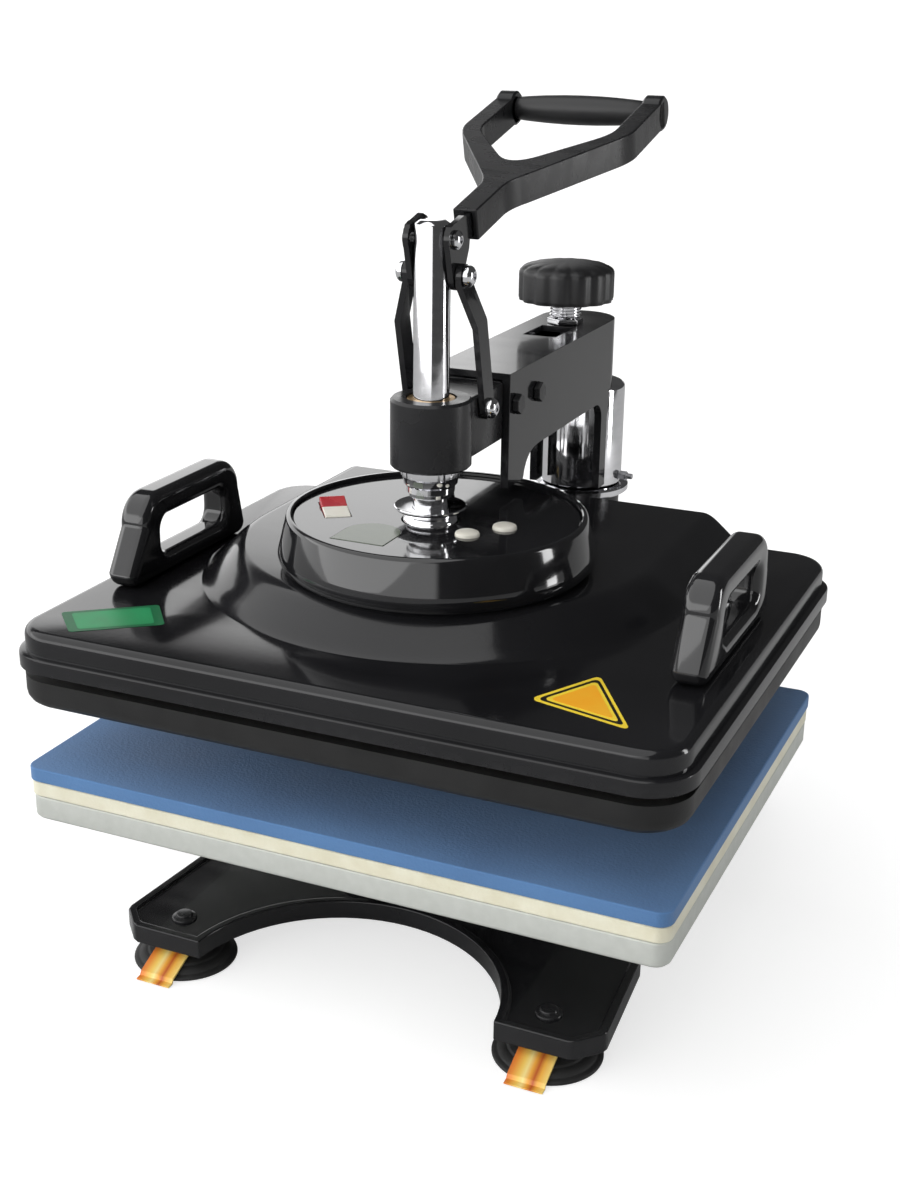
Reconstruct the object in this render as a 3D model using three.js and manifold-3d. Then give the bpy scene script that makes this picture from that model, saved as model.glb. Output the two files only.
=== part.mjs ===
// Swing-away flat heat press, in millimetres, +Z up, origin on the bench under the middle of the machine.
// X runs across the platens, -Y is the operator's side.
import * as THREE from 'three';
import { mergeVertices } from 'three/addons/utils/BufferGeometryUtils.js';
import Module from 'manifold-3d';

const wasm = await Module();
wasm.setup();

// Driving dimensions
const gap = 0.3; // left between touching pieces

const padWidth = 380;
const padDepth = 300;
const padThickness = 8.5;
const feltThickness = 8.9;
const lowerPlateThickness = 14.8;
const lowerPlateBottom = 93.4;
const pressGap = 39.8; // open height between the pad and the hot plate

const pressY = -71; // line of the shaft
const padY = -57;
const headY = -51; // middle of the head
const knobY = 140;
const columnY = 182.5; // swing axis

const footRadius = 30.5;
const footHeight = 14;
const footX = 115;
const frontFootY = -165;
const rearFootY = 160;

const baseBottom = footHeight + gap;
const baseTop = baseBottom + 12;
const baseFront = -187;
const baseRear = 215.5;
const baseHalfWidth = 150;

const shaftRadius = 10;
const shaftBottom = 206;
const crossBoltZ = 316; // bolts that hold the guide casting in the arm
const screwRadius = 6;
const screwBoreRadius = screwRadius + gap;
const collarRadius = 22.75;
const collarBottom = 292;
const collarTop = 331;
const armTop = 335;
const armHalfWidth = 25;
const wall = 5;

const leverY = pressY;
const leverZ = 417; // pivot in the top of the shaft
const handleTilt = THREE.MathUtils.degToRad(14.2);
const crankRadius = 20;
const crankAngle = THREE.MathUtils.degToRad(-76);
const linkFootY = -47;
const linkFootZ = 322;
const gripReach = 213; // lever pivot to the middle of the grip
const plateInner = 10.4; // lever plates beside the shaft
const plateOuter = 13.6;

const plateauX = -11; // middle of the round front of the raised D on the cover
const plateauY = -17;
const buttonPlaces = [[30, -88], [44, -68]];
const buttonRadius = 6.8;

// Heights that follow from them
const feltBottom = lowerPlateBottom + lowerPlateThickness + gap;
const padBottom = feltBottom + feltThickness + gap;
const padTop = padBottom + padThickness;
const hotBottom = padTop + pressGap;
const hotTop = hotBottom + 17.5;
const lipBottom = hotTop + 5.5;
const lipTop = lipBottom + 8.5;
const coverTop = lipTop + 13.7;
const plateauTop = coverTop + 20.3;
const boxBottom = plateauTop + gap;
const boxTop = boxBottom + 31;
const panelTop = boxTop - 2.4;
const crankY = leverY + crankRadius * Math.cos(crankAngle);
const crankZ = leverZ + crankRadius * Math.sin(crankAngle);

const press = new THREE.Group();
press.name = 'heat_press';

// Material looks shared by many pieces
const finishes = {
  glossBlack: { color: 0x0c0c0d, roughness: 0.15, metalness: 0.1 },
  satinBlack: { color: 0x1c1c1d, roughness: 0.45, metalness: 0.1 },
  rubberBlack: { color: 0x111111, roughness: 0.85, metalness: 0.0 },
  chrome: { color: 0xe4e4e6, roughness: 0.12, metalness: 1.0 },
  steel: { color: 0x9fa1a4, roughness: 0.4, metalness: 1.0 },
  bronze: { color: 0xa9793f, roughness: 0.4, metalness: 1.0 },
  aluminium: { color: 0xb9bab2, roughness: 0.5, metalness: 0.6 },
  coatedBlack: { color: 0x202120, roughness: 0.5, metalness: 0.1 },
  blueSilicone: { color: 0x3f6fb5, roughness: 0.75, metalness: 0.0 },
  creamFelt: { color: 0xeeead0, roughness: 0.95, metalness: 0.0 },
  wool: { color: 0xd8d4c8, roughness: 1.0, metalness: 0.0 },
  board: { color: 0x1f6b3a, roughness: 0.6, metalness: 0.0 },
  red: { color: 0xc5303a, roughness: 0.35, metalness: 0.0 },
  white: { color: 0xf0efe8, roughness: 0.4, metalness: 0.0 },
  orange: { color: 0xf08a24, roughness: 0.6, metalness: 0.0 },
  window: { color: 0x3a4038, roughness: 0.08, metalness: 0.0 },
};

function addNode(name, geometry, finish) {
  const mesh = new THREE.Mesh(geometry, new THREE.MeshStandardMaterial(finishes[finish]));
  mesh.name = name;
  press.add(mesh);
  return mesh;
}

// Booleans
function toSolid(geometry) {
  const bare = geometry.clone();
  for (const attribute of Object.keys(bare.attributes)) {
    if (attribute !== 'position') bare.deleteAttribute(attribute);
  }
  const merged = mergeVertices(bare, 1e-4);
  const mesh = new wasm.Mesh({
    numProp: 3,
    vertProperties: new Float32Array(merged.attributes.position.array),
    triVerts: new Uint32Array(merged.index.array),
  });
  return new wasm.Manifold(mesh);
}

function toGeometry(solid) {
  const mesh = solid.getMesh();
  const geometry = new THREE.BufferGeometry();
  geometry.setAttribute('position', new THREE.BufferAttribute(mesh.vertProperties, 3));
  geometry.setIndex(new THREE.BufferAttribute(mesh.triVerts, 1));
  return geometry;
}

function combine(added, removed = []) {
  let solid = toSolid(added[0]);
  for (const geometry of added.slice(1)) solid = solid.add(toSolid(geometry));
  for (const geometry of removed) solid = solid.subtract(toSolid(geometry));
  return toGeometry(solid);
}

// Basic shapes
function box(x0, x1, y0, y1, z0, z1) {
  const geometry = new THREE.BoxGeometry(x1 - x0, y1 - y0, z1 - z0);
  return geometry.translate((x0 + x1) / 2, (y0 + y1) / 2, (z0 + z1) / 2);
}

function disc(radius, z0, z1, x, y, sides = 24) {
  const geometry = new THREE.CylinderGeometry(radius, radius, z1 - z0, sides);
  return geometry.rotateX(Math.PI / 2).translate(x, y, (z0 + z1) / 2);
}

function crossPin(radius, x0, x1, y, z, sides = 16) {
  const geometry = new THREE.CylinderGeometry(radius, radius, x1 - x0, sides);
  return geometry.rotateZ(Math.PI / 2).translate((x0 + x1) / 2, y, z);
}

// profile: [radius, height] pairs from the axis and back to it, or a closed ring
function turned(profile, x, y, sides = 24) {
  const points = profile.map(([radius, height]) => new THREE.Vector2(radius, height));
  const geometry = new THREE.LatheGeometry(points, sides);
  return geometry.rotateX(Math.PI / 2).translate(x, y, 0);
}

function ring(inner, outer, z0, z1, x, y, sides = 24) {
  return turned([[inner, z0], [outer, z0], [outer, z1], [inner, z1], [inner, z0]], x, y, sides);
}

function slab(shape, z0, z1, curveSegments = 6) {
  const geometry = new THREE.ExtrudeGeometry(shape, { depth: z1 - z0, bevelEnabled: false, curveSegments });
  return geometry.translate(0, 0, z0);
}

// shape drawn in Y (first) and Z (second), thickness along X
function sidePlate(shape, x0, x1, curveSegments = 6) {
  const geometry = new THREE.ExtrudeGeometry(shape, { depth: x1 - x0, bevelEnabled: false, curveSegments });
  const turn = new THREE.Matrix4().makeBasis(
    new THREE.Vector3(0, 1, 0),
    new THREE.Vector3(0, 0, 1),
    new THREE.Vector3(1, 0, 0),
  );
  return geometry.applyMatrix4(turn).translate(x0, 0, 0);
}

function polygon(points) {
  return new THREE.Shape(points.map(([u, v]) => new THREE.Vector2(u, v)));
}

function roundedRectangle(u0, u1, v0, v1, radius) {
  const shape = new THREE.Shape();
  shape.moveTo(u0 + radius, v0);
  shape.lineTo(u1 - radius, v0);
  shape.absarc(u1 - radius, v0 + radius, radius, -Math.PI / 2, 0, false);
  shape.absarc(u1 - radius, v1 - radius, radius, 0, Math.PI / 2, false);
  shape.absarc(u0 + radius, v1 - radius, radius, Math.PI / 2, Math.PI, false);
  shape.absarc(u0 + radius, v0 + radius, radius, Math.PI, 1.5 * Math.PI, false);
  return shape;
}

// Solid through rounded rectangles at rising heights
function stackedRectangles(levels, x, y, cornerSteps = 5) {
  const rings = levels.map(([z, halfWidth, halfDepth, radius]) => {
    const points = [];
    for (let corner = 0; corner < 4; corner++) {
      const signX = corner === 0 || corner === 3 ? 1 : -1;
      const signY = corner < 2 ? 1 : -1;
      for (let step = 0; step <= cornerSteps; step++) {
        const angle = (corner + step / cornerSteps) * (Math.PI / 2);
        const u = signX * (halfWidth - radius) + radius * Math.cos(angle);
        const v = signY * (halfDepth - radius) + radius * Math.sin(angle);
        points.push([x + u, y + v, z]);
      }
    }
    return points;
  });
  return loft(rings);
}

// Closed solid through rings of equally many points, bottom to top, counter-clockwise from above
function loft(rings) {
  const count = rings[0].length;
  const positions = rings.flat(2);
  const indices = [];
  for (let level = 0; level < rings.length - 1; level++) {
    for (let i = 0; i < count; i++) {
      const a = level * count + i;
      const b = level * count + ((i + 1) % count);
      indices.push(a, b, b + count, a, b + count, a + count);
    }
  }
  const last = (rings.length - 1) * count;
  for (let i = 1; i < count - 1; i++) {
    indices.push(0, i + 1, i);
    indices.push(last, last + i, last + i + 1);
  }
  const geometry = new THREE.BufferGeometry();
  geometry.setAttribute('position', new THREE.Float32BufferAttribute(positions, 3));
  geometry.setIndex(indices);
  return geometry;
}

// Base with four paws, arched between them
function addBase() {
  const archRadius = 92;
  const archFront = -103 - archRadius; // centre of the front arch
  const outline = (inset) => {
    const shape = new THREE.Shape();
    const front = baseFront + inset;
    const rear = baseRear - inset;
    const side = baseHalfWidth - inset;
    const radius = archRadius + inset;
    const start = Math.asin((front + 3 - archFront) / radius);
    shape.moveTo(-radius, front);
    shape.absarc(0, archFront, radius, Math.PI - start, start, true);
    shape.lineTo(radius, front);
    shape.lineTo(side - 14, front);
    shape.lineTo(side, front + 16);
    shape.lineTo(side - 6, -95);
    shape.quadraticCurveTo(70 - inset, 5, side - 12, 105);
    shape.lineTo(side - 6, 170);
    shape.lineTo(side - 22, 192);
    shape.lineTo(84 + inset, 196);
    shape.quadraticCurveTo(58, 170, 44 - inset, 186);
    shape.lineTo(34, rear);
    shape.lineTo(-34, rear);
    shape.lineTo(-44 + inset, 186);
    shape.quadraticCurveTo(-58, 170, -84 - inset, 196);
    shape.lineTo(-side + 22, 192);
    shape.lineTo(-side + 6, 170);
    shape.lineTo(-side + 12, 105);
    shape.quadraticCurveTo(-70 + inset, 5, -side + 6, -95);
    shape.lineTo(-side, front + 16);
    shape.lineTo(-side + 14, front);
    return shape;
  };
  const rim = 5;
  const holes = [];
  for (const x of [-footX, footX]) {
    for (const y of [frontFootY, rearFootY]) holes.push(disc(5, baseBottom - 1, baseTop + 1, x, y, 12));
  }
  const plate = combine(
    [slab(outline(0), baseBottom, baseTop, 10)],
    [slab(outline(rim), baseTop - 2, baseTop + 1, 10), ...holes],
  );
  addNode('base_frame', plate, 'glossBlack');
}

function addFoot(name, x, y) {
  const profile = [
    [0, 3], [20, 1.6], [26, 0], [footRadius, 0], [footRadius, 1.8], [18, 7], [11, 9.5], [11, footHeight],
    [4.6, footHeight], [4.6, baseTop + 1.5], [0, baseTop + 1.5],
  ];
  addNode(name, turned(profile, x, y, 18), 'rubberBlack');
}

function addFootTab(name, x) {
  // short flap lying on the cup, dropped to the bench in front of it
  const y = frontFootY - footRadius;
  const flap = polygon([
    [y + 18, 9.6], [y + 12.5, 7.4], [y - 0.4, 2.4], [y - 1.6, 0], [y - 6, 0], [y - 6, 0.9], [y - 2.4, 1.2],
    [y - 1, 3.4], [y + 12.2, 8.8], [y + 18, 10.8],
  ]);
  addNode(name, sidePlate(flap, x - 11, x + 11), 'orange');
}

function addColumn() {
  const footFlange = baseTop - 2 + gap;
  const collarBase = 212;
  const post = turned([
    [0, footFlange], [27, footFlange], [27, collarBase - gap], [18, collarBase - gap], [18, 287], [0, 287],
  ], 0, columnY, 28);
  const gussetBack = columnY - 25;
  const gussetTop = footFlange + 62;
  const gusset = polygon([[columnY - 62, footFlange], [gussetBack, footFlange], [gussetBack, gussetTop]]);
  const gussets = [-14, 9].map((x) => sidePlate(gusset, x, x + wall));
  addNode('column_post', combine([post, ...gussets]), 'satinBlack');
  addNode('column_collar', ring(18 + gap, 33, collarBase, 217.7, 0, columnY, 28), 'chrome');
  const sleeve = turned([
    [18 + gap, 218], [28, 218], [28, 286], [26, 288], [18 + gap, 288], [18 + gap, 218],
  ], 0, columnY, 28);
  addNode('swing_sleeve', sleeve, 'chrome');
  const bolt = combine([
    new THREE.CylinderGeometry(3.4, 3.4, 5, 6).rotateZ(Math.PI / 2).translate(31.2, columnY, 224),
    crossPin(2, 33, 37.5, columnY, 224, 10),
  ]);
  addNode('sleeve_set_bolt', bolt, 'steel');
}

function addPlatenSupport() {
  const bottom = baseTop - 2 + gap;
  const top = lowerPlateBottom - gap;
  const flange = 5;
  const base = roundedRectangle(-50, 50, -94, 62, 10);
  const head = roundedRectangle(-60, 60, -130, 30, 10);
  const pedestal = combine(
    [
      slab(base, bottom, bottom + flange),
      slab(head, top - flange, top),
      box(-32, 32, -90, 42, bottom + 1, top - 1),
    ],
    [box(-27, 27, -100, 50, bottom + flange, top - flange)],
  );
  addNode('platen_pedestal', pedestal, 'satinBlack');
  const tab = combine([
    box(86, 112, -150, -118, top - 4, top),
    box(86, 112, -150, -146, top - 12, top - 1),
  ]);
  addNode('platen_stop_bracket', tab, 'aluminium');
}

function addLowerStack() {
  const plateTop = lowerPlateBottom + lowerPlateThickness;
  const halfWidth = padWidth / 2;
  const halfDepth = padDepth / 2;
  const plate = stackedRectangles([
    [lowerPlateBottom, halfWidth - 4, halfDepth - 4, 6],
    [lowerPlateBottom + 2.5, halfWidth - 1.6, halfDepth - 1.6, 8],
    [plateTop, halfWidth - 0.8, halfDepth - 0.8, 9],
  ], 0, padY);
  addNode('lower_platen', plate, 'aluminium');
  const felt = stackedRectangles([
    [feltBottom, halfWidth - 0.6, halfDepth - 0.6, 8],
    [feltBottom + feltThickness, halfWidth - 0.6, halfDepth - 0.6, 8],
  ], 0, padY);
  addNode('felt_layer', felt, 'creamFelt');
  const pad = stackedRectangles([
    [padBottom, halfWidth, halfDepth, 8],
    [padTop, halfWidth, halfDepth, 8],
  ], 0, padY);
  addNode('silicone_pad', pad, 'blueSilicone');
}

// Swing arm: folded channel over the sleeve, with the guide casting in its front end
function addArm() {
  const channelFront = -17;
  const legFront = 148;
  const legRear = columnY - 22.5;
  const floorBottom = 288.4;
  const rearCentre = 163;
  const plan = (inset) => {
    const shape = new THREE.Shape();
    const half = armHalfWidth - inset;
    shape.moveTo(half, channelFront - (inset ? 1 : 0));
    shape.lineTo(half, rearCentre);
    shape.absarc(0, rearCentre, half, 0, Math.PI, false);
    shape.lineTo(-half, channelFront - (inset ? 1 : 0));
    return shape;
  };
  const frontLeg = 7;
  const archTop = 283;
  const archRadius = 12;
  const arch = new THREE.Shape();
  arch.moveTo(frontLeg, 200);
  arch.lineTo(legFront, 200);
  arch.lineTo(legFront, archTop - archRadius);
  arch.absarc(legFront - archRadius, archTop - archRadius, archRadius, 0, Math.PI / 2, false);
  arch.lineTo(frontLeg + 24, archTop);
  arch.quadraticCurveTo(frontLeg + 4, archTop, frontLeg, 266);
  const behindSleeve = box(-40, 40, legRear, columnY + 60, 200, floorBottom);
  const legBottom = 223;
  const frontToe = box(-40, 40, channelFront - 5, frontLeg + 1, 200, 267);
  const slotStart = 93;
  const inside = armHalfWidth - wall;
  const channel = combine(
    [slab(plan(0), legBottom, armTop, 10)],
    [
      slab(plan(wall), legBottom - 1, floorBottom, 10),
      slab(plan(wall), floorBottom + wall, armTop - 4, 10),
      box(-inside, inside, channelFront - 2, 120, floorBottom - 1, floorBottom + wall + 1),
      sidePlate(arch, -40, 40, 5),
      behindSleeve,
      frontToe,
      box(-11, 11, slotStart, slotStart + 34, armTop - 10, armTop + 1),
      disc(8, armTop - 10, armTop + 1, 0, knobY, 20),
      disc(4.3, floorBottom - 2, floorBottom + wall + 2, 0, columnY - 10, 14),
      ...[0, 34].map((dy) => crossPin(4.3, -40, 40, channelFront + 9 + dy, crossBoltZ, 14)),
    ],
  );
  addNode('arm_channel', channel, 'glossBlack');

  const blockHalf = inside - gap;
  const noseHalf = 21;
  const casting = combine(
    [
      disc(collarRadius, collarBottom, collarTop, 0, pressY, 32),
      box(-noseHalf, noseHalf, pressY, channelFront - gap, 296, collarTop),
      box(-blockHalf, blockHalf, channelFront - gap - 1, 52, 296, collarTop - gap),
    ],
    [
      disc(14 + gap, collarBottom - 1, collarTop + 1, 0, pressY),
      ...[0, 34].map((dy) => crossPin(4.3, -40, 40, channelFront + 9 + dy, crossBoltZ, 14)),
    ],
  );
  addNode('guide_casting', casting, 'satinBlack');
  const bush = ring(shaftRadius + 0.06, 14, collarBottom + gap, collarTop - 0.5, 0, pressY);
  addNode('guide_bush', bush, 'bronze');
  const glandBottom = 275;
  const gland = turned([
    [shaftRadius + 1, glandBottom], [12, glandBottom], [13.5, 281], [16.5, 287], [17, collarBottom - gap],
    [shaftRadius + 1, collarBottom - gap], [shaftRadius + 1, glandBottom],
  ], 0, pressY);
  addNode('bush_gland_nut', gland, 'chrome');
  ['front', 'rear'].forEach((place, index) => {
    const y = channelFront + 9 + index * 34;
    const shank = crossPin(4, -armHalfWidth - 1, armHalfWidth + 1, y, crossBoltZ, 14);
    const heads = [-1, 1].map((side) => {
      const head = new THREE.CylinderGeometry(6, 6.4, 3.6, 6);
      return head.rotateZ((-side * Math.PI) / 2).translate(side * (armHalfWidth + gap + 1.8), y, crossBoltZ);
    });
    addNode(`arm_bolt_${place}`, combine([shank, ...heads]), 'satinBlack');
  });
}

// Pressure screw through the arm, with the nut block that travels on it
function addPressureScrew() {
  const stemTop = 351;
  const knobBottom = stemTop - 0.5;
  const knobTop = 375;
  const flutes = 12;
  const outerRadius = 31;
  const outline = new THREE.Shape();
  const steps = flutes * 4;
  for (let i = 0; i < steps; i++) {
    const angle = (i / steps) * 2 * Math.PI;
    const radius = outerRadius - 0.9 + 0.9 * Math.cos(angle * flutes);
    if (i === 0) outline.moveTo(radius, 0);
    else outline.lineTo(radius * Math.cos(angle), radius * Math.sin(angle));
  }
  const rim = slab(outline, knobBottom, knobTop - 3).translate(0, knobY, 0);
  const crown = turned([
    [0, knobTop - 4], [29.4, knobTop - 4], [28.4, knobTop - 1.6], [22, knobTop], [0, knobTop],
  ], 0, knobY);
  const stem = disc(10.5, 339.5, stemTop, 0, knobY, 20);
  const bore = disc(screwBoreRadius, 330, 360, 0, knobY, 16);
  addNode('pressure_knob', combine([rim, crown, stem], [bore]), 'satinBlack');
  const screw = turned([[0, 294], [screwRadius, 294], [screwRadius, 359.5], [0, 359.5]], 0, knobY, 16);
  addNode('pressure_screw', screw, 'chrome');
  const nut = combine(
    [new THREE.CylinderGeometry(12, 12, 3.6, 6).rotateX(Math.PI / 2).translate(0, knobY, armTop + gap + 1.8)],
    [disc(screwBoreRadius, armTop - 2, armTop + 8, 0, knobY, 16)],
  );
  addNode('screw_lock_nut', nut, 'chrome');
  const block = combine(
    [
      crossPin(9, -19, 19, knobY, 314, 18),
      box(-17, 17, 100, knobY, 308, 320),
      crossPin(8.5, -17, 17, 103, 314, 18),
    ],
    [disc(screwBoreRadius, 300, 330, 0, knobY, 16)],
  );
  addNode('trunnion_nut', block, 'steel');
}

// Parts that slide with the shaft
function addShaft() {
  const flangeBottom = 264;
  const hubTop = flangeBottom - gap;
  const shaft = combine(
    [turned([
      [0, shaftBottom], [shaftRadius, shaftBottom], [shaftRadius, leverZ + 7], [shaftRadius - 3, leverZ + 10],
      [0, leverZ + 10],
    ], 0, pressY)],
    [crossPin(4 + gap, -12, 12, leverY, leverZ, 16)],
  );
  addNode('press_shaft', shaft, 'chrome');
  const flange = turned([
    [shaftRadius + gap, flangeBottom], [15, flangeBottom], [17.5, 266], [20.5, 268.4], [20.5, 269.2],
    [17, 268.4], [shaftRadius + gap, 267.6], [shaftRadius + gap, flangeBottom],
  ], 0, pressY);
  addNode('height_flange', flange, 'chrome');
  const hub = turned([
    [shaftRadius + gap, shaftBottom], [22, shaftBottom], [22, 211], [15.5, 211], [15.5, 261], [13.5, hubTop],
    [shaftRadius + gap, hubTop], [shaftRadius + gap, shaftBottom],
  ], 0, pressY);
  addNode('hub_nut', hub, 'chrome');
}

// Outline of the raised D on the cover, round in front and straight to the back edge
function plateauRing(radius, rear, z) {
  const points = [];
  const steps = 20;
  for (let step = 0; step <= steps; step++) {
    const angle = Math.PI + (step / steps) * Math.PI;
    points.push([plateauX + radius * Math.cos(angle), plateauY + radius * Math.sin(angle), z]);
  }
  points.push([plateauX + radius, rear, z], [plateauX - radius, rear, z]);
  return points;
}

function plateauSolid(inset, z0, z1) {
  const rear = 110 - inset;
  const topRadius = 126 - inset;
  const bottomRadius = 147 - inset;
  return loft([
    plateauRing(bottomRadius + 1, rear, z0),
    plateauRing(bottomRadius, rear, z0 + 4),
    plateauRing(topRadius + 3, rear - 1, z1 - 2.5),
    plateauRing(topRadius, rear - 3, z1),
  ]);
}

function addCover() {
  const halfWidth = 191.5;
  const halfDepth = 161;
  const shell = 2.5;
  const lip = 3.5;
  const outer = stackedRectangles([
    [lipBottom, halfWidth + lip - 1, halfDepth + lip - 1, 27],
    [lipBottom + 2, halfWidth + lip, halfDepth + lip, 28],
    [lipTop - 1.5, halfWidth + lip, halfDepth + lip, 28],
    [lipTop, halfWidth + lip - 2, halfDepth + lip - 2, 26],
    [lipTop + 0.6, halfWidth, halfDepth, 25],
    [coverTop - 3.5, halfWidth, halfDepth, 25],
    [coverTop - 1, halfWidth - 1.2, halfDepth - 1.2, 24],
    [coverTop, halfWidth - 3.5, halfDepth - 3.5, 22],
  ], 0, headY);
  const inner = stackedRectangles([
    [lipBottom - 1, halfWidth - shell, halfDepth - shell, 22],
    [coverTop - shell, halfWidth - shell, halfDepth - shell, 22],
  ], 0, headY);
  const slots = [];
  for (let i = 0; i < 5; i++) {
    const y = 32 + i * 9;
    slots.push(box(plateauX - 155, plateauX - 120, y, y + 4, coverTop + 6, coverTop + 16));
  }
  const rearInlet = box(-76.5, -47.5, 100, 120, coverTop - 10, coverTop + 11);
  const cover = combine(
    [outer, plateauSolid(0, coverTop - 4, plateauTop)],
    [
      inner,
      plateauSolid(shell, coverTop - 5, plateauTop - shell),
      disc(16, plateauTop - 6, plateauTop + 2, 0, pressY, 24),
      disc(6, plateauTop - 6, plateauTop + 2, -40, pressY + 20, 12),
      ...slots,
      rearInlet,
    ],
  );
  addNode('head_cover', cover, 'glossBlack');
}

function addHotPlate() {
  const plate = stackedRectangles([
    [hotBottom, 186, 155.5, 20],
    [hotBottom + 2, 189, 158.5, 23],
    [hotBottom + 6, 191.5, 161, 25],
    [hotTop, 192.5, 162, 26],
  ], 0, headY);
  addNode('heat_platen', plate, 'coatedBlack');

  // one flat tube bent to and fro over the plate
  const runs = 7;
  const pitch = 40;
  const reach = 140;
  const half = 3.5;
  const outline = new THREE.Shape();
  const firstY = headY - ((runs - 1) * pitch) / 2;
  const bend = pitch / 2;
  outline.moveTo(-reach - 12, firstY - half);
  for (let run = 0; run < runs - 1; run++) {
    const side = run % 2 === 0 ? 1 : -1;
    const centreY = firstY + run * pitch + bend;
    const radius = side > 0 ? bend + half : bend - half;
    const finish = side > 0 ? Math.PI / 2 : -1.5 * Math.PI;
    outline.lineTo(side * (reach - bend), centreY - radius);
    outline.absarc(side * (reach - bend), centreY, radius, -Math.PI / 2, finish, side < 0);
  }
  const lastY = firstY + (runs - 1) * pitch;
  outline.lineTo(reach, lastY - half);
  outline.lineTo(reach, lastY + half);
  for (let run = runs - 2; run >= 0; run--) {
    const side = run % 2 === 0 ? 1 : -1;
    const centreY = firstY + run * pitch + bend;
    const radius = side > 0 ? bend - half : bend + half;
    const finish = side > 0 ? -Math.PI / 2 : 1.5 * Math.PI;
    outline.lineTo(side * (reach - bend), centreY + radius);
    outline.absarc(side * (reach - bend), centreY, radius, Math.PI / 2, finish, side > 0);
  }
  outline.lineTo(-reach - 12, firstY + half);
  const elementBottom = hotTop + gap;
  const elementTop = elementBottom + 5;
  addNode('heating_element', slab(outline, elementBottom, elementTop, 4), 'steel');

  const blanketBottom = elementTop + gap;
  const studs = [[-62, -50], [62, -50], [-62, 50], [62, 50]];
  const holes = studs.map(([x, y]) => disc(5.5, blanketBottom - 1, blanketBottom + 12, x, headY + y, 12));
  const sheet = box(-178, 178, headY - 148, headY + 148, blanketBottom, blanketBottom + 8);
  const blanket = combine([sheet], holes);
  addNode('insulation_blanket', blanket, 'wool');

  const plateBottom = 200.3;
  const plateOutline = roundedRectangle(-76, 76, headY - 64, headY + 64, 12);
  addNode('hub_plate', slab(plateOutline, plateBottom, shaftBottom - gap), 'steel');
  studs.forEach(([x, y], index) => {
    addNode(`platen_stud_${index + 1}`, disc(5, hotTop + gap, plateBottom - gap, x, headY + y, 12), 'steel');
  });
}

function addControlBox() {
  const centreY = pressY + 9;
  const housing = turned([
    [70, boxBottom], [86, boxBottom], [91, boxBottom + 9], [85.5, boxTop - 1], [84.5, boxTop], [82.5, boxTop],
    [82.5, panelTop - 2.4], [78, panelTop - 2.4], [78, panelTop - 5], [82, panelTop - 5],
    [87.5, boxBottom + 9],
    [83, boxBottom + 2.5], [70, boxBottom + 2.5], [70, boxBottom],
  ], 0, centreY, 32);
  addNode('control_box', housing, 'glossBlack');
  const panel = combine(
    [disc(82, panelTop - 2.1, panelTop, 0, centreY, 32)],
    [
      disc(16.5, panelTop - 4, panelTop + 2, 0, pressY, 20),
      ...buttonPlaces.map(([x, y]) => disc(buttonRadius + 0.4, panelTop - 4, panelTop + 2, x, y, 16)),
      atSwitch(box(-7.8, 7.8, -15.3, 15.3, panelTop - 4, panelTop + 2)),
      slab(displayShape(0.3), panelTop - 0.8, panelTop + 1, 8),
    ],
  );
  addNode('control_panel', panel, 'glossBlack');
  addNode('display_window', slab(displayShape(0), panelTop - 0.5, panelTop + 0.3, 8), 'window');
  const boardOutline = roundedRectangle(-62, 62, centreY + 14, centreY + 50, 6);
  addNode('circuit_board', slab(boardOutline, panelTop - 14, panelTop - 12.4), 'board');
}

// The rocker switch stands on the left of the panel, turned to follow the rim
function atSwitch(geometry) {
  return geometry.rotateZ(THREE.MathUtils.degToRad(35)).translate(-57, -78, 0);
}

// Arch-topped display, set beside the hub
function displayShape(grow) {
  const shape = new THREE.Shape();
  const centreX = -19;
  const front = -126;
  const springLine = -107;
  const half = 16 + grow;
  shape.moveTo(centreX - half, front - grow);
  shape.lineTo(centreX + half, front - grow);
  shape.lineTo(centreX + half, springLine);
  shape.absarc(centreX, springLine, half, 0, Math.PI, false);
  return shape;
}

function addControls() {
  const names = ['mode_button', 'set_button'];
  buttonPlaces.forEach(([x, y], index) => {
    const button = turned([
      [0, panelTop - 3.6], [buttonRadius + 1.6, panelTop - 3.6], [buttonRadius + 1.6, panelTop - 3.4],
      [buttonRadius, panelTop - 3.3], [buttonRadius, panelTop + 1.4], [buttonRadius - 1, panelTop + 2.2],
      [0, panelTop + 2.6],
    ], x, y, 16);
    addNode(names[index], button, 'white');
  });
  const rocker = polygon([
    [-14.9, panelTop - 2.4], [14.9, panelTop - 2.4], [14.2, panelTop + 3.6], [13, panelTop + 4.2],
    [0, panelTop + 1.8], [-13.2, panelTop + 1], [-14.8, panelTop + 0.4],
  ]);
  addNode('power_switch', atSwitch(sidePlate(rocker, -7.4, 7.4)), 'red');
}

// Carry handle: a loop of bar on a long foot
function addCarryHandle(name, x) {
  const bottom = coverTop + gap;
  const top = bottom + 52;
  const frontY = -120;
  const rearY = -8;
  const toeY = -140;
  const corner = 19;
  const outer = new THREE.Shape();
  outer.moveTo(toeY, bottom);
  outer.lineTo(rearY + 4, bottom);
  outer.lineTo(rearY + 4, bottom + 6);
  outer.lineTo(rearY, bottom + 14);
  outer.lineTo(rearY - 2, top - corner);
  outer.absarc(rearY - 2 - corner, top - corner, corner, 0, Math.PI / 2, false);
  outer.lineTo(frontY + 2 + corner, top);
  outer.absarc(frontY + 2 + corner, top - corner, corner, Math.PI / 2, Math.PI, false);
  outer.lineTo(frontY - 1, bottom + 18);
  outer.lineTo(toeY, bottom + 5);
  outer.holes.push(roundedRectangle(frontY + 21, rearY - 20, bottom + 8, top - 17, 7));
  const bar = 10;
  addNode(name, sidePlate(outer, x - bar, x + bar, 6), 'satinBlack');
}

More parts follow.
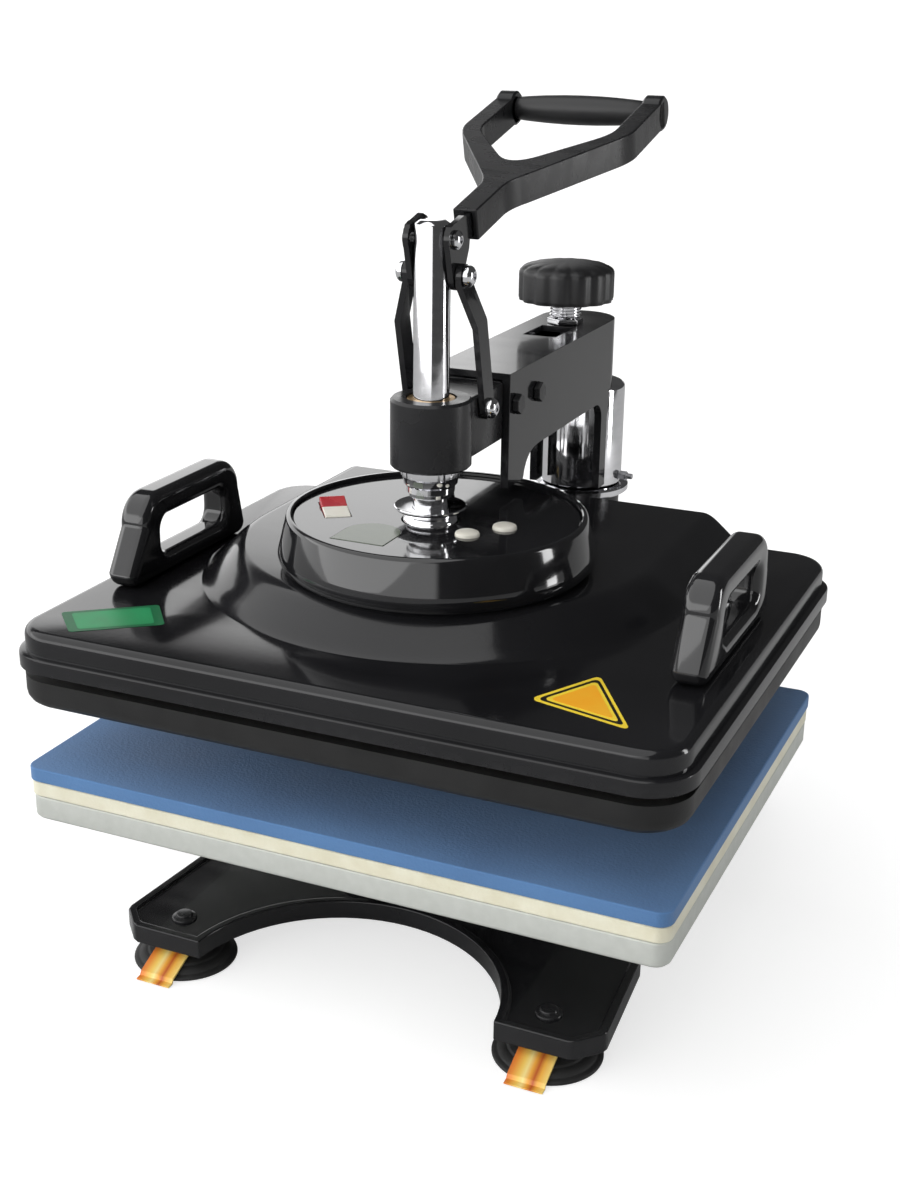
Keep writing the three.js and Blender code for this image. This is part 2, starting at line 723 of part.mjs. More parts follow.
function addPowerInlet() {
  const x = -62;
  const body = combine(
    [
      box(x - 14, x + 14, 92, 107.6, coverTop - 9.5, coverTop + 10.5),
      box(x - 18, x + 18, 110.4, 112.6, coverTop - 8, coverTop + 12.5),
      box(x - 14, x + 14, 106, 111, coverTop - 9.5 + 1.5, coverTop + 10.5),
    ],
    [box(x - 11.5, x + 11.5, 98, 114, coverTop - 6, coverTop + 8)],
  );
  addNode('power_inlet', body, 'satinBlack');
}

// Hand lever; local u runs from the pivot to the grip, n stands up from it
function leverFrame(geometry) {
  return geometry.rotateX(handleTilt).translate(0, leverY, leverZ);
}

function addLever() {
  const crankU = Math.cos(handleTilt) * (crankY - leverY) + Math.sin(handleTilt) * (crankZ - leverZ);
  const crankN = -Math.sin(handleTilt) * (crankY - leverY) + Math.cos(handleTilt) * (crankZ - leverZ);
  const tongue = [[18, -6.4], [56, -6.4], [56, 6.4], [18, 6.4]];
  const shortEnd = [[18, -5], [18, 5]];
  for (const [name, side, back] of [['lever_plate_left', -1, shortEnd], ['lever_plate_right', 1, tongue]]) {
    const x0 = side > 0 ? plateInner : -plateOuter;
    const x1 = side > 0 ? plateOuter : -plateInner;
    const web = polygon([[-8.5, 2], [-8, crankN], [8, crankN], [16, -11], ...back, [13, 8.6], [-4, 8.6]]);
    const plate = combine(
      [sidePlate(web, x0, x1), crossPin(9, x0, x1, 0, 0, 18), crossPin(8, x0, x1, crankU, crankN, 18)],
      [crossPin(4 + gap, x0 - 1, x1 + 1, 0, 0, 12), crossPin(3.4, x0 - 1, x1 + 1, crankU, crankN, 12)],
    );
    addNode(name, leverFrame(plate), 'glossBlack');
  }
  // the stem holds the right plate's tongue, so the fork stands a little to the right of the shaft
  const half = 8.5;
  const stem = [3, 17];
  const fork = [-47, 61];
  const forkWall = 12;
  const stemStart = 22;
  const split = 66;
  const shoulder = 150;
  const end = gripReach + 8;
  const yoke = new THREE.Shape();
  yoke.moveTo(stem[0], stemStart);
  yoke.lineTo(stem[1], stemStart);
  yoke.lineTo(stem[1], split);
  yoke.lineTo(fork[1], shoulder);
  yoke.lineTo(fork[1], end);
  yoke.lineTo(fork[1] - forkWall, end);
  yoke.lineTo(fork[1] - forkWall, shoulder + 4);
  yoke.quadraticCurveTo(15, 96, 7, 96);
  yoke.quadraticCurveTo(-1, 96, fork[0] + forkWall, shoulder + 4);
  yoke.lineTo(fork[0] + forkWall, end);
  yoke.lineTo(fork[0], end);
  yoke.lineTo(fork[0], shoulder);
  yoke.lineTo(stem[0], split);
  const ends = [fork[0], fork[1] - forkWall].map((x) => crossPin(10.5, x, x + forkWall, gripReach, 0.5, 18));
  const boltReach = forkWall - 3;
  const socket = crossPin(5 + gap, fork[0] + 3, fork[1] - 3, gripReach, 0.5, 12);
  const slot = box(plateInner - gap, plateOuter + gap, stemStart - 1, 57, -6.8, 6.8);
  const body = combine([slab(yoke, -half, half, 6), ...ends], [socket, slot]);
  addNode('handle_yoke', leverFrame(body), 'satinBlack');
  const gripMiddle = (fork[0] + fork[1]) / 2;
  const gripHalf = (fork[1] - fork[0]) / 2 - forkWall - gap;
  const pinHalf = gripHalf + boltReach - 1;
  const grip = turned([
    [0, -pinHalf], [5, -pinHalf], [5, -gripHalf], [6.8, -gripHalf], [8.2, -gripHalf * 0.6], [9, 0],
    [8.2, gripHalf * 0.6], [6.8, gripHalf], [5, gripHalf], [5, pinHalf], [0, pinHalf],
  ], 0, 0, 20);
  grip.rotateY(Math.PI / 2).translate(gripMiddle, gripReach, 0.5);
  addNode('grip_bar', leverFrame(grip), 'satinBlack');
  const headAt = plateOuter + gap;
  const shank = crossPin(4, -headAt - 0.2, headAt + 0.2, leverY, leverZ, 12);
  const heads = [-1, 1].map((side) => {
    const dome = turned([[0, 0], [5.2, 0], [5.2, 1.3], [3.8, 2.5], [0, 3]], 0, 0, 16);
    return dome.rotateY((side * Math.PI) / 2).translate(side * headAt, leverY, leverZ);
  });
  addNode('lever_pivot_bolt', combine([shank, ...heads]), 'chrome');
}

// Toggle links, stepped outwards between the lever and the arm
function addLinks() {
  const length = Math.hypot(linkFootY - crankY, linkFootZ - crankZ);
  const lean = Math.atan2(linkFootY - crankY, crankZ - linkFootZ);
  for (const [name, side] of [['left', -1], ['right', 1]]) {
    const topX = plateOuter + 0.4;
    const footInner = 21.6;
    const thick = 3.5;
    const halfWidth = 6.5;
    const washer = 0.9; // the crank bolt's head stands clear of the bend
    const bar = polygon([
      [topX, 0], [topX, -4], [footInner, -28], [footInner, -length], [footInner + thick, -length],
      [footInner + thick, -27], [topX + thick, -3], [topX + thick, 0],
    ]);
    const strip = new THREE.ExtrudeGeometry(bar, { depth: 2 * halfWidth, bevelEnabled: false });
    strip.rotateX(Math.PI / 2).translate(0, halfWidth, 0);
    if (side < 0) strip.rotateZ(Math.PI);
    const eyes = [[0, topX], [-length, footInner]].map(([z, x]) => {
      const x0 = side > 0 ? x : -x - thick;
      return crossPin(halfWidth, x0, x0 + thick, 0, z, 18);
    });
    const holes = [0, -length].map((z) => crossPin(3.4, -40, 40, 0, z, 12));
    const link = combine([strip, ...eyes], holes);
    link.rotateX(lean).translate(0, crankY, crankZ);
    addNode(`link_${name}`, link, 'glossBlack');
    addBolt(`crank_bolt_${name}`, side, plateInner + 0.2, topX + thick + washer, crankY, crankZ);
    addBolt(`link_bolt_${name}`, side, 21 + gap, footInner + thick, linkFootY, linkFootZ);
  }
}

// Dome-headed bolt from its inner end to its head
function addBolt(name, side, inner, headAt, y, z) {
  const profile = [
    [0, inner], [3, inner], [3, headAt + gap], [5.8, headAt + gap], [5.8, headAt + 2.2], [4.2, headAt + 3.8],
    [0, headAt + 4.4],
  ];
  const bolt = turned(profile, 0, 0, 14);
  addNode(name, bolt.rotateY((side * Math.PI) / 2).translate(0, y, z), 'chrome');
}

addBase();
for (const [side, x] of [['left', -footX], ['right', footX]]) {
  addFoot(`suction_foot_front_${side}`, x, frontFootY);
  addFoot(`suction_foot_rear_${side}`, x, rearFootY);
  addFootTab(`foot_tab_${side}`, x);
}
addColumn();
addPlatenSupport();
addLowerStack();
addArm();
addPressureScrew();
addShaft();
addCover();
addHotPlate();
addControlBox();
addControls();
addCarryHandle('carry_handle_left', -170);
addCarryHandle('carry_handle_right', 170);
addPowerInlet();
addLever();
addLinks();

export default press;
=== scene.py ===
import bpy
import bmesh
import math
from mathutils import Matrix, Vector


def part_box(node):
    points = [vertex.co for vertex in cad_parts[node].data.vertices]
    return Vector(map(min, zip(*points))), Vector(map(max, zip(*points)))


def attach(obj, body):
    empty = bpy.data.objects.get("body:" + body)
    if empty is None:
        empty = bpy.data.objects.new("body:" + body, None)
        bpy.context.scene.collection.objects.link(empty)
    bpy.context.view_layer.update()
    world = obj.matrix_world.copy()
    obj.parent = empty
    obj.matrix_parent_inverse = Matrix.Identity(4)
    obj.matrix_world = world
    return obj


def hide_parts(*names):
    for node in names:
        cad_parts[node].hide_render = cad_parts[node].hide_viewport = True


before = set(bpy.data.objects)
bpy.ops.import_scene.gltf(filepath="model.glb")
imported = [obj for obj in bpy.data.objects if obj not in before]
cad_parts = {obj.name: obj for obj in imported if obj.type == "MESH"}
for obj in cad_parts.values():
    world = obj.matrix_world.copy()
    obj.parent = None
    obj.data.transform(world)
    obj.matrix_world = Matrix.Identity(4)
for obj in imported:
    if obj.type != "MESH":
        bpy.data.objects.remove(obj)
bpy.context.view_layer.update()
bpy.context.scene.view_settings.view_transform = "Standard"
mm = 0.001

# camera and studio
cameraView = {"place": (0.3774, -0.9010, 0.5492), "turn": 24.92, "down": 20.11, "roll": 0.27,
              "lens": 50.8, "shift": (0.0277, -0.005)}
studio = {"floor": (0.5, 0.5, 0.5), "glow": 0.68, "paper": 0.96, "wall": 1.6, "room": 0.06, "wallTop": 0.45,
          "wallSide": (-0.92, -0.39, 0), "sun": 2.7, "sunFrom": (-0.7, -0.75, 1.2), "sunSpread": 100,
          "sideWindow": 9, "exposure": 0.0}


def placeCamera():
    bpy.ops.object.camera_add()
    camera = bpy.context.active_object
    camera.name = "viewCamera"
    camera.data.lens = cameraView["lens"]
    camera.data.sensor_width = 36
    camera.data.shift_x, camera.data.shift_y = cameraView["shift"]
    turn = Matrix.Rotation(math.radians(cameraView["turn"]), 4, "Z")
    tip = Matrix.Rotation(math.radians(90 - cameraView["down"]), 4, "X")
    roll = Matrix.Rotation(math.radians(cameraView["roll"]), 4, "Z")
    camera.matrix_world = Matrix.Translation(cameraView["place"]) @ turn @ tip @ roll
    camera.data.clip_start = 0.01
    camera.data.clip_end = 900
    bpy.context.scene.camera = camera


def softbox(name, place, aim, size, power):
    bpy.ops.object.light_add(type="AREA", location=place)
    light = bpy.context.active_object
    light.name = name
    light.data.shape = "RECTANGLE"
    light.data.size, light.data.size_y = size
    light.data.energy = power
    light.rotation_mode = "QUATERNION"
    light.rotation_quaternion = (Vector(aim) - Vector(place)).to_track_quat("-Z", "Y")


def buildSky():
    # a pale wall stands behind and to the left and the rest of the room is dim,
    # but the camera sees white all round
    world = bpy.data.worlds.new("studioWorld")
    bpy.context.scene.world = world
    world.use_nodes = True
    tree = world.node_tree

    def spread(value, fromLow, fromHigh, toLow, toHigh):
        ramp = tree.nodes.new("ShaderNodeMapRange")
        tree.links.new(value, ramp.inputs["Value"])
        for key, number in (("From Min", fromLow), ("From Max", fromHigh), ("To Min", toLow),
                            ("To Max", toHigh)):
            ramp.inputs[key].default_value = number
        return ramp.outputs["Result"]

    place = tree.nodes.new("ShaderNodeTexCoord")
    split = tree.nodes.new("ShaderNodeSeparateXYZ")
    tree.links.new(place.outputs["Generated"], split.inputs[0])
    facing = tree.nodes.new("ShaderNodeVectorMath")
    facing.operation = "DOT_PRODUCT"
    tree.links.new(place.outputs["Generated"], facing.inputs[0])
    facing.inputs[1].default_value = studio["wallSide"]
    height = spread(split.outputs["Z"], studio["wallTop"] - 0.08, studio["wallTop"], 1.0, 0.0)
    side = spread(facing.outputs["Value"], -0.06, 0.0, 0.0, studio["wall"])
    wall = tree.nodes.new("ShaderNodeMath")
    wall.operation = "MULTIPLY_ADD"
    tree.links.new(height, wall.inputs[0])
    tree.links.new(side, wall.inputs[1])
    wall.inputs[2].default_value = studio["room"]
    path = tree.nodes.new("ShaderNodeLightPath")
    seen = tree.nodes.new("ShaderNodeMix")
    tree.links.new(path.outputs["Is Camera Ray"], seen.inputs["Factor"])
    tree.links.new(wall.outputs[0], seen.inputs["A"])
    seen.inputs["B"].default_value = studio["paper"]
    tree.links.new(seen.outputs["Result"], tree.nodes["Background"].inputs["Strength"])
    tree.nodes["Background"].inputs["Color"].default_value = (1, 1, 1, 1)


def buildStudio():
    bpy.ops.mesh.primitive_plane_add(size=800, location=(0, 0, -0.0005))
    floor = bpy.context.active_object
    floor.name = "studioFloor"
    paper = bpy.data.materials.new("studioPaper")
    paper.use_nodes = True
    shader = paper.node_tree.nodes["Principled BSDF"]
    shader.inputs["Base Color"].default_value = (*studio["floor"], 1)
    shader.inputs["Roughness"].default_value = 0.9
    shader.inputs["Emission Color"].default_value = (1, 1, 1, 1)
    # the paper glows to the eye only, so that black gloss stays black beside it
    path = paper.node_tree.nodes.new("ShaderNodeLightPath")
    glow = paper.node_tree.nodes.new("ShaderNodeMath")
    glow.operation = "MULTIPLY"
    paper.node_tree.links.new(path.outputs["Is Camera Ray"], glow.inputs[0])
    glow.inputs[1].default_value = studio["glow"]
    paper.node_tree.links.new(glow.outputs[0], shader.inputs["Emission Strength"])
    floor.data.materials.append(paper)
    buildSky()
    bpy.ops.object.light_add(type="SUN")
    sun = bpy.context.active_object
    sun.name = "ceilingLight"
    sun.data.energy = studio["sun"]
    sun.data.angle = math.radians(studio["sunSpread"])
    sun.rotation_mode = "QUATERNION"
    sun.rotation_quaternion = (-Vector(studio["sunFrom"])).to_track_quat("-Z", "Y")
    softbox("sideWindow", (1.7, 0.55, 0.5), (0, 0, 0.25), (0.3, 1.0), studio["sideWindow"])
    bpy.context.scene.view_settings.exposure = studio["exposure"]


placeCamera()
buildStudio()
print("camera and studio ready")


# working in edit mode
def deselect():
    if bpy.context.object and bpy.context.object.mode != "OBJECT":
        bpy.ops.object.mode_set(mode="OBJECT")
    bpy.ops.object.select_all(action="DESELECT")


def takeUp(piece):
    deselect()
    piece.select_set(True)
    bpy.context.view_layer.objects.active = piece


def openEdit(piece):
    takeUp(piece)
    bpy.ops.object.mode_set(mode="EDIT")


def closeEdit():
    bpy.ops.object.mode_set(mode="OBJECT")


def pick(piece, kind, test):
    # kind is VERT, EDGE or FACE; test gets the place, and a face's normal with it
    bpy.ops.mesh.select_mode(type=kind)
    bpy.ops.mesh.select_all(action="DESELECT")
    mesh = bmesh.from_edit_mesh(piece.data)
    if kind == "FACE":
        for face in mesh.faces:
            face.select_set(bool(test(face.calc_center_median(), face.normal)))
    elif kind == "EDGE":
        for edge in mesh.edges:
            edge.select_set(bool(test(edge.verts[0].co, edge.verts[1].co)))
    else:
        for vert in mesh.verts:
            vert.select_set(bool(test(vert.co)))
    mesh.select_flush_mode()
    bmesh.update_edit_mesh(piece.data)


def mergeUp(piece, reach=0.000005, outward=True):
    openEdit(piece)
    bpy.ops.mesh.select_all(action="SELECT")
    bpy.ops.mesh.remove_doubles(threshold=reach)
    if outward:
        bpy.ops.mesh.normals_make_consistent(inside=False)
    closeEdit()


def modify(piece, kind, **values):
    takeUp(piece)
    modifier = piece.modifiers.new(kind.lower(), kind)
    for key, value in values.items():
        setattr(modifier, key, value)
    bpy.ops.object.modifier_apply(modifier=modifier.name)


def soften(piece, width, steps=3, angle=35, clamp=True):
    piece["eased"] = True
    modify(piece, "BEVEL", width=width * mm, segments=steps, limit_method="ANGLE",
           angle_limit=math.radians(angle), use_clamp_overlap=clamp)


def setDown(piece, place=(0, 0, 0), turn=(0, 0, 0)):
    # moves and turns the mesh, and leaves the object at the origin
    takeUp(piece)
    piece.rotation_euler = [math.radians(a) for a in turn]
    piece.location = [value * mm for value in place]
    bpy.ops.object.transform_apply(location=True, rotation=True, scale=True)


def cutWith(piece, cutter):
    modify(piece, "BOOLEAN", object=cutter, operation="DIFFERENCE", solver="EXACT")
    bpy.data.objects.remove(cutter, do_unlink=True)


def joinTo(piece, *others):
    takeUp(piece)
    for other in others:
        other.select_set(True)
    bpy.ops.object.join()


def copyPiece(piece, name, mirrorX=False, shift=(0, 0, 0)):
    twin = bpy.data.objects.new(name, piece.data.copy())
    bpy.context.scene.collection.objects.link(twin)
    takeUp(twin)
    twin.scale = (-1 if mirrorX else 1, 1, 1)
    twin.location = [value * mm for value in shift]
    bpy.ops.object.transform_apply(location=True, rotation=False, scale=True)
    if mirrorX:
        mergeUp(twin)
    return twin


def finishPiece(piece, body, finish, nodes=(), angle=35):
    takeUp(piece)
    bpy.ops.object.shade_smooth_by_angle(angle=math.radians(angle))
    if piece.get("eased"):
        # flat faces stay flat beside their eased edges
        modify(piece, "WEIGHTED_NORMAL", keep_sharp=True, weight=100)
    if not len(piece.data.materials):
        piece.data.materials.append(finish)
    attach(piece, body)
    if nodes:
        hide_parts(*nodes)
    return piece


def arcPoints(x, y, radius, start, end, steps=12):
    angles = [math.radians(start + (end - start) * i / steps) for i in range(steps + 1)]
    return [(x + radius * math.cos(angle), y + radius * math.sin(angle)) for angle in angles]


def curvePoints(a, b, c, steps=10):
    # from a to c, drawn towards b
    shares = [i / steps for i in range(steps + 1)]
    return [tuple((1 - t) ** 2 * a[k] + 2 * t * (1 - t) * b[k] + t * t * c[k] for k in (0,
                                                                                        1)) for t in shares]


def startPoint(name, point):
    # one vertex to extrude from
    deselect()
    bpy.ops.mesh.primitive_plane_add(size=0.001)
    piece = bpy.context.active_object
    piece.name = name
    piece.data.name = name
    openEdit(piece)
    bpy.ops.mesh.select_mode(type="VERT")
    bpy.ops.mesh.select_all(action="SELECT")
    bpy.ops.mesh.merge(type="CENTER")
    bpy.ops.transform.translate(value=[value * mm for value in point])
    return piece


def drawOn(points):
    for a, b in zip(points, points[1:]):
        step = [(q - p) * mm for p, q in zip(a, b)]
        bpy.ops.mesh.extrude_region_move(TRANSFORM_OT_translate={"value": step})


def turnPiece(name, profile, place=(0, 0, 0), along="Z", steps=96):
    # profile is (radius, height) pairs; a closed one is a ring
    points = [(radius, 0, height) for radius, height in profile]
    piece = startPoint(name, points[0])
    drawOn(points)
    bpy.ops.mesh.select_all(action="SELECT")
    bpy.ops.mesh.spin(steps=steps, angle=2 * math.pi, center=(0, 0, 0), axis=(0, 0, 1))
    closeEdit()
    mergeUp(piece)
    setDown(piece, place, {"Z": (0, 0, 0), "X": (0, 90, 0)}[along])
    return piece


def outlinePiece(name, points, depth, place=(0, 0, 0), turn=(0, 0, 0)):
    flat = [(u, v, 0) for u, v in points]
    piece = startPoint(name, flat[0])
    drawOn(flat)
    bpy.ops.mesh.select_all(action="SELECT")
    bpy.ops.mesh.remove_doubles(threshold=0.00001)
    bpy.ops.mesh.edge_face_add()
    bpy.ops.mesh.extrude_region_move(TRANSFORM_OT_translate={"value": (0, 0, depth * mm)})
    bpy.ops.mesh.select_all(action="SELECT")
    bpy.ops.mesh.normals_make_consistent(inside=False)
    closeEdit()
    setDown(piece, place, turn)
    return piece


sideways = (90, 0, 90)  # an outline drawn in Y and Z, thickness along X


def roundedSlab(name, centre, halfSize, corner, z, levels, steps=10):
    # levels are (rise, pull in) pairs from the first face; a negative rise builds downwards
    bpy.ops.mesh.primitive_plane_add(size=2)
    piece = bpy.context.active_object
    piece.name = name
    piece.data.name = name
    piece.scale = (halfSize[0] * mm, halfSize[1] * mm, 1)
    piece.location = (centre[0] * mm, centre[1] * mm, z * mm)
    takeUp(piece)
    bpy.ops.object.transform_apply(location=True, rotation=False, scale=True)
    openEdit(piece)
    bpy.ops.mesh.select_all(action="SELECT")
    bpy.ops.mesh.bevel(offset=corner * mm, affect="VERTICES", segments=steps)
    down = levels[0][0] < 0
    if down:
        bpy.ops.mesh.select_all(action="SELECT")
        bpy.ops.mesh.flip_normals()
    bpy.ops.mesh.select_mode(type="FACE")
    bpy.ops.mesh.select_all(action="SELECT")
    bpy.ops.mesh.duplicate()  # the first face stays as the far side
    for rise, pull in levels:
        if pull:
            bpy.ops.mesh.inset(thickness=pull * mm, depth=abs(rise) * mm, use_even_offset=True)
        else:
            bpy.ops.mesh.extrude_region_move(TRANSFORM_OT_translate={"value": (0, 0, rise * mm)})
    closeEdit()
    mergeUp(piece)
    return piece


def roundedEdge(radius, steps):
    levels = []
    for i in range(steps):
        a, b = math.pi / 2 * i / steps, math.pi / 2 * (i + 1) / steps
        levels.append((radius * (math.sin(b) - math.sin(a)), radius * (math.cos(a) - math.cos(b))))
    return levels


def refineNode(node, body, finish, width, steps=2, angle=30, smooth=35):
    # a CAD node with its edges eased, as the real part has them
    piece = bpy.data.objects.new(node + "Eased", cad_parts[node].data.copy())
    bpy.context.scene.collection.objects.link(piece)
    piece.data.materials.clear()
    mergeUp(piece, 0.000002, outward=False)
    openEdit(piece)
    bpy.ops.mesh.select_all(action="SELECT")
    bpy.ops.mesh.dissolve_limited(angle_limit=math.radians(0.4))
    closeEdit()
    if width:
        soften(piece, width, steps, angle)
    return finishPiece(piece, body, finish, [node], smooth)


def spanOf(node):
    low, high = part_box(node)
    return [value / mm for value in low], [value / mm for value in high]


def centreOf(node):
    low, high = spanOf(node)
    return [round((a + b) / 2, 3) for a, b in zip(low, high)]


def middleAndHalf(node):
    low, high = spanOf(node)
    return [(a + b) / 2 for a, b in zip(low, high)], [(b - a) / 2 for a, b in zip(low, high)]


def nodePlace(node):
    # the middle of a node in plan, at floor height
    return (*middleAndHalf(node)[0][:2], 0)


shaftY = centreOf("press_shaft")[1]
columnY = centreOf("column_collar")[1]
knobY = centreOf("pressure_screw")[1]
leverPivot = (0, *centreOf("lever_pivot_bolt")[1:])
coverTop = spanOf("carry_handle_left")[0][2] - 0.3


# finishes
def newFinish(name, tone, rough, metal=0.0, **sockets):
    finish = bpy.data.materials.new(name)
    finish.use_nodes = True
    shader = finish.node_tree.nodes["Principled BSDF"]
    shader.inputs["Base Color"].default_value = (*tone, 1)
    shader.inputs["Roughness"].default_value = rough
    shader.inputs["Metallic"].default_value = metal
    for key, value in sockets.items():
        shader.inputs[key.replace("_", " ")].default_value = value
    return finish


def noiseOn(finish, scale, stretch=(1, 1, 1), detail=3.0, kind="ShaderNodeTexNoise"):
    tree = finish.node_tree
    place = tree.nodes.new("ShaderNodeTexCoord")
    mapping = tree.nodes.new("ShaderNodeMapping")
    mapping.inputs["Scale"].default_value = stretch
    tree.links.new(place.outputs["Object"], mapping.inputs["Vector"])
    texture = tree.nodes.new(kind)
    texture.inputs["Scale"].default_value = scale
    if "Detail" in texture.inputs:
        texture.inputs["Detail"].default_value = detail
    tree.links.new(mapping.outputs["Vector"], texture.inputs["Vector"])
    return texture.outputs["Distance" if kind == "ShaderNodeTexVoronoi" else 0]


def mapTo(finish, value, low, high, fromLow=0.3, fromHigh=0.7):
    spread = finish.node_tree.nodes.new("ShaderNodeMapRange")
    finish.node_tree.links.new(value, spread.inputs["Value"])
    for key, number in (("From Min", fromLow), ("From Max", fromHigh), ("To Min", low), ("To Max", high)):
        spread.inputs[key].default_value = number
    return spread.outputs["Result"]


def toneFrom(finish, value, stops):
    ramp = finish.node_tree.nodes.new("ShaderNodeValToRGB")
    while len(ramp.color_ramp.elements) < len(stops):
        ramp.color_ramp.elements.new(0.5)
    for element, (place, tone) in zip(ramp.color_ramp.elements, stops):
        element.position = place
        element.color = (*tone, 1)
    finish.node_tree.links.new(value, ramp.inputs["Fac"])
    shader = finish.node_tree.nodes["Principled BSDF"]
    finish.node_tree.links.new(ramp.outputs["Color"], shader.inputs["Base Color"])
    return ramp


def roughFrom(finish, value, low, high, fromLow=0.3, fromHigh=0.7):
    shader = finish.node_tree.nodes["Principled BSDF"]
    finish.node_tree.links.new(mapTo(finish, value, low, high, fromLow, fromHigh),
                               shader.inputs["Roughness"])


def bumpFrom(finish, value, depth, strength=0.6):
    tree = finish.node_tree
    bump = tree.nodes.new("ShaderNodeBump")
    bump.inputs["Strength"].default_value = strength
    bump.inputs["Distance"].default_value = depth * mm
    tree.links.new(value, bump.inputs["Height"])
    shader = tree.nodes["Principled BSDF"]
    old = shader.inputs["Normal"].links
    if old:
        tree.links.new(old[0].from_socket, bump.inputs["Normal"])
    tree.links.new(bump.outputs["Normal"], shader.inputs["Normal"])


def paintFinish(name, look):
    # enamel: faint cloudiness, a light orange peel, handling marks in the gloss, and pale rubbed edges
    finish = newFinish(name, look["tone"], look["rough"][0], 0.0, Coat_Weight=look["coat"],
                       Coat_Roughness=look["coatRough"], Specular_IOR_Level=look["specular"])
    tree = finish.node_tree
    clouds = noiseOn(finish, look["cloud"])
    low, high = look["tone"], [value * 1.5 + 0.002 for value in look["tone"]]
    ramp = toneFrom(finish, clouds, [(0.35, low), (0.7, high)])
    edge = tree.nodes.new("ShaderNodeNewGeometry")
    worn = mapTo(finish, edge.outputs["Pointiness"], 0.0, look["wear"], 0.56, 0.68)
    broken = tree.nodes.new("ShaderNodeMath")
    broken.operation = "MULTIPLY"
    tree.links.new(worn, broken.inputs[0])
    tree.links.new(mapTo(finish, noiseOn(finish, 160), 0.0, 1.0, 0.45, 0.6), broken.inputs[1])
    blend = tree.nodes.new("ShaderNodeMix")
    blend.data_type = "RGBA"
    tree.links.new(broken.outputs[0], blend.inputs[0])
    tree.links.new(ramp.outputs["Color"], blend.inputs[6])
    blend.inputs[7].default_value = (0.16, 0.16, 0.165, 1)
    tree.links.new(blend.outputs[2], tree.nodes["Principled BSDF"].inputs["Base Color"])
    roughFrom(finish, noiseOn(finish, look["smear"], (1, 2.5, 1), 5), *look["rough"])
    bumpFrom(finish, noiseOn(finish, look["peel"], detail=1), look["peelDepth"], 0.35)
    return finish


def metalFinish(name, look):
    finish = newFinish(name, look["tone"], look["rough"][0], look["metal"], Specular_IOR_Level=0.5)
    fine = noiseOn(finish, look["scale"], look["stretch"], 6)
    toneFrom(finish, fine, [(0.3, look["toneTwo"]), (0.7, look["tone"])])
    roughFrom(finish, noiseOn(finish, look["scale"] * 0.4, look["stretch"], 3), *look["rough"])
    bumpFrom(finish, fine, look["depth"], 0.5)
    return finish


def matteFinish(name, look):
    finish = newFinish(name, look["tone"], look["rough"][0], 0.0,
                       Specular_IOR_Level=look.get("specular", 0.4), Sheen_Weight=look.get("sheen", 0.0),
                       Sheen_Roughness=0.6)
    cloud = noiseOn(finish, look["cloud"], detail=4)
    toneFrom(finish, cloud, [(0.3, look["toneTwo"]), (0.7, look["tone"])])
    roughFrom(finish, cloud, *look["rough"])
    grain = noiseOn(finish, look["grain"], detail=2, kind=look.get("kind", "ShaderNodeTexNoise"))
    bumpFrom(finish, grain, look["depth"], look.get("strength", 0.6))
    return finish


paints = {
    "glossFrame": {"tone": (0.010, 0.010, 0.011), "rough": (0.10, 0.20), "coat": 0.25, "coatRough": 0.05,
                   "specular": 0.28, "cloud": 14, "wear": 0.12, "smear": 24, "peel": 420,
                   "peelDepth": 0.02},
    "glossCover": {"tone": (0.008, 0.008, 0.009), "rough": (0.09, 0.16), "coat": 0.15, "coatRough": 0.04,
                   "specular": 0.35, "cloud": 9, "wear": 0.1, "smear": 14, "peel": 300, "peelDepth": 0.04},
    "glossHousing": {"tone": (0.009, 0.009, 0.010), "rough": (0.06, 0.12), "coat": 0.4, "coatRough": 0.03,
                     "specular": 0.5, "cloud": 20, "wear": 0.1, "smear": 20, "peel": 260,
                     "peelDepth": 0.02},
    "satinFrame": {"tone": (0.011, 0.011, 0.012), "rough": (0.22, 0.34), "coat": 0.0, "coatRough": 0.2,
                   "specular": 0.35, "cloud": 20, "wear": 0.15, "smear": 40, "peel": 700,
                   "peelDepth": 0.05},
}
metals = {
    "chromePlate": {"tone": (0.86, 0.86, 0.88), "toneTwo": (0.78, 0.78, 0.80), "metal": 1.0,
                    "rough": (0.05, 0.13), "scale": 60, "stretch": (1, 1, 6), "depth": 0.01},
    "bareSteel": {"tone": (0.58, 0.58, 0.60), "toneTwo": (0.40, 0.40, 0.42), "metal": 1.0,
                  "rough": (0.28, 0.45), "scale": 180, "stretch": (1, 6, 1), "depth": 0.04},
    "bushBronze": {"tone": (0.66, 0.46, 0.24), "toneTwo": (0.50, 0.34, 0.17), "metal": 1.0,
                   "rough": (0.3, 0.5), "scale": 200, "stretch": (1, 1, 1), "depth": 0.04},
    "castAluminium": {"tone": (0.64, 0.66, 0.62), "toneTwo": (0.59, 0.61, 0.57), "metal": 0.2,
                      "rough": (0.42, 0.58), "scale": 160, "stretch": (1, 1, 1), "depth": 0.05},
    "brassPin": {"tone": (0.80, 0.62, 0.30), "toneTwo": (0.66, 0.50, 0.22), "metal": 1.0,
                 "rough": (0.2, 0.35), "scale": 200, "stretch": (1, 1, 1), "depth": 0.02},
}
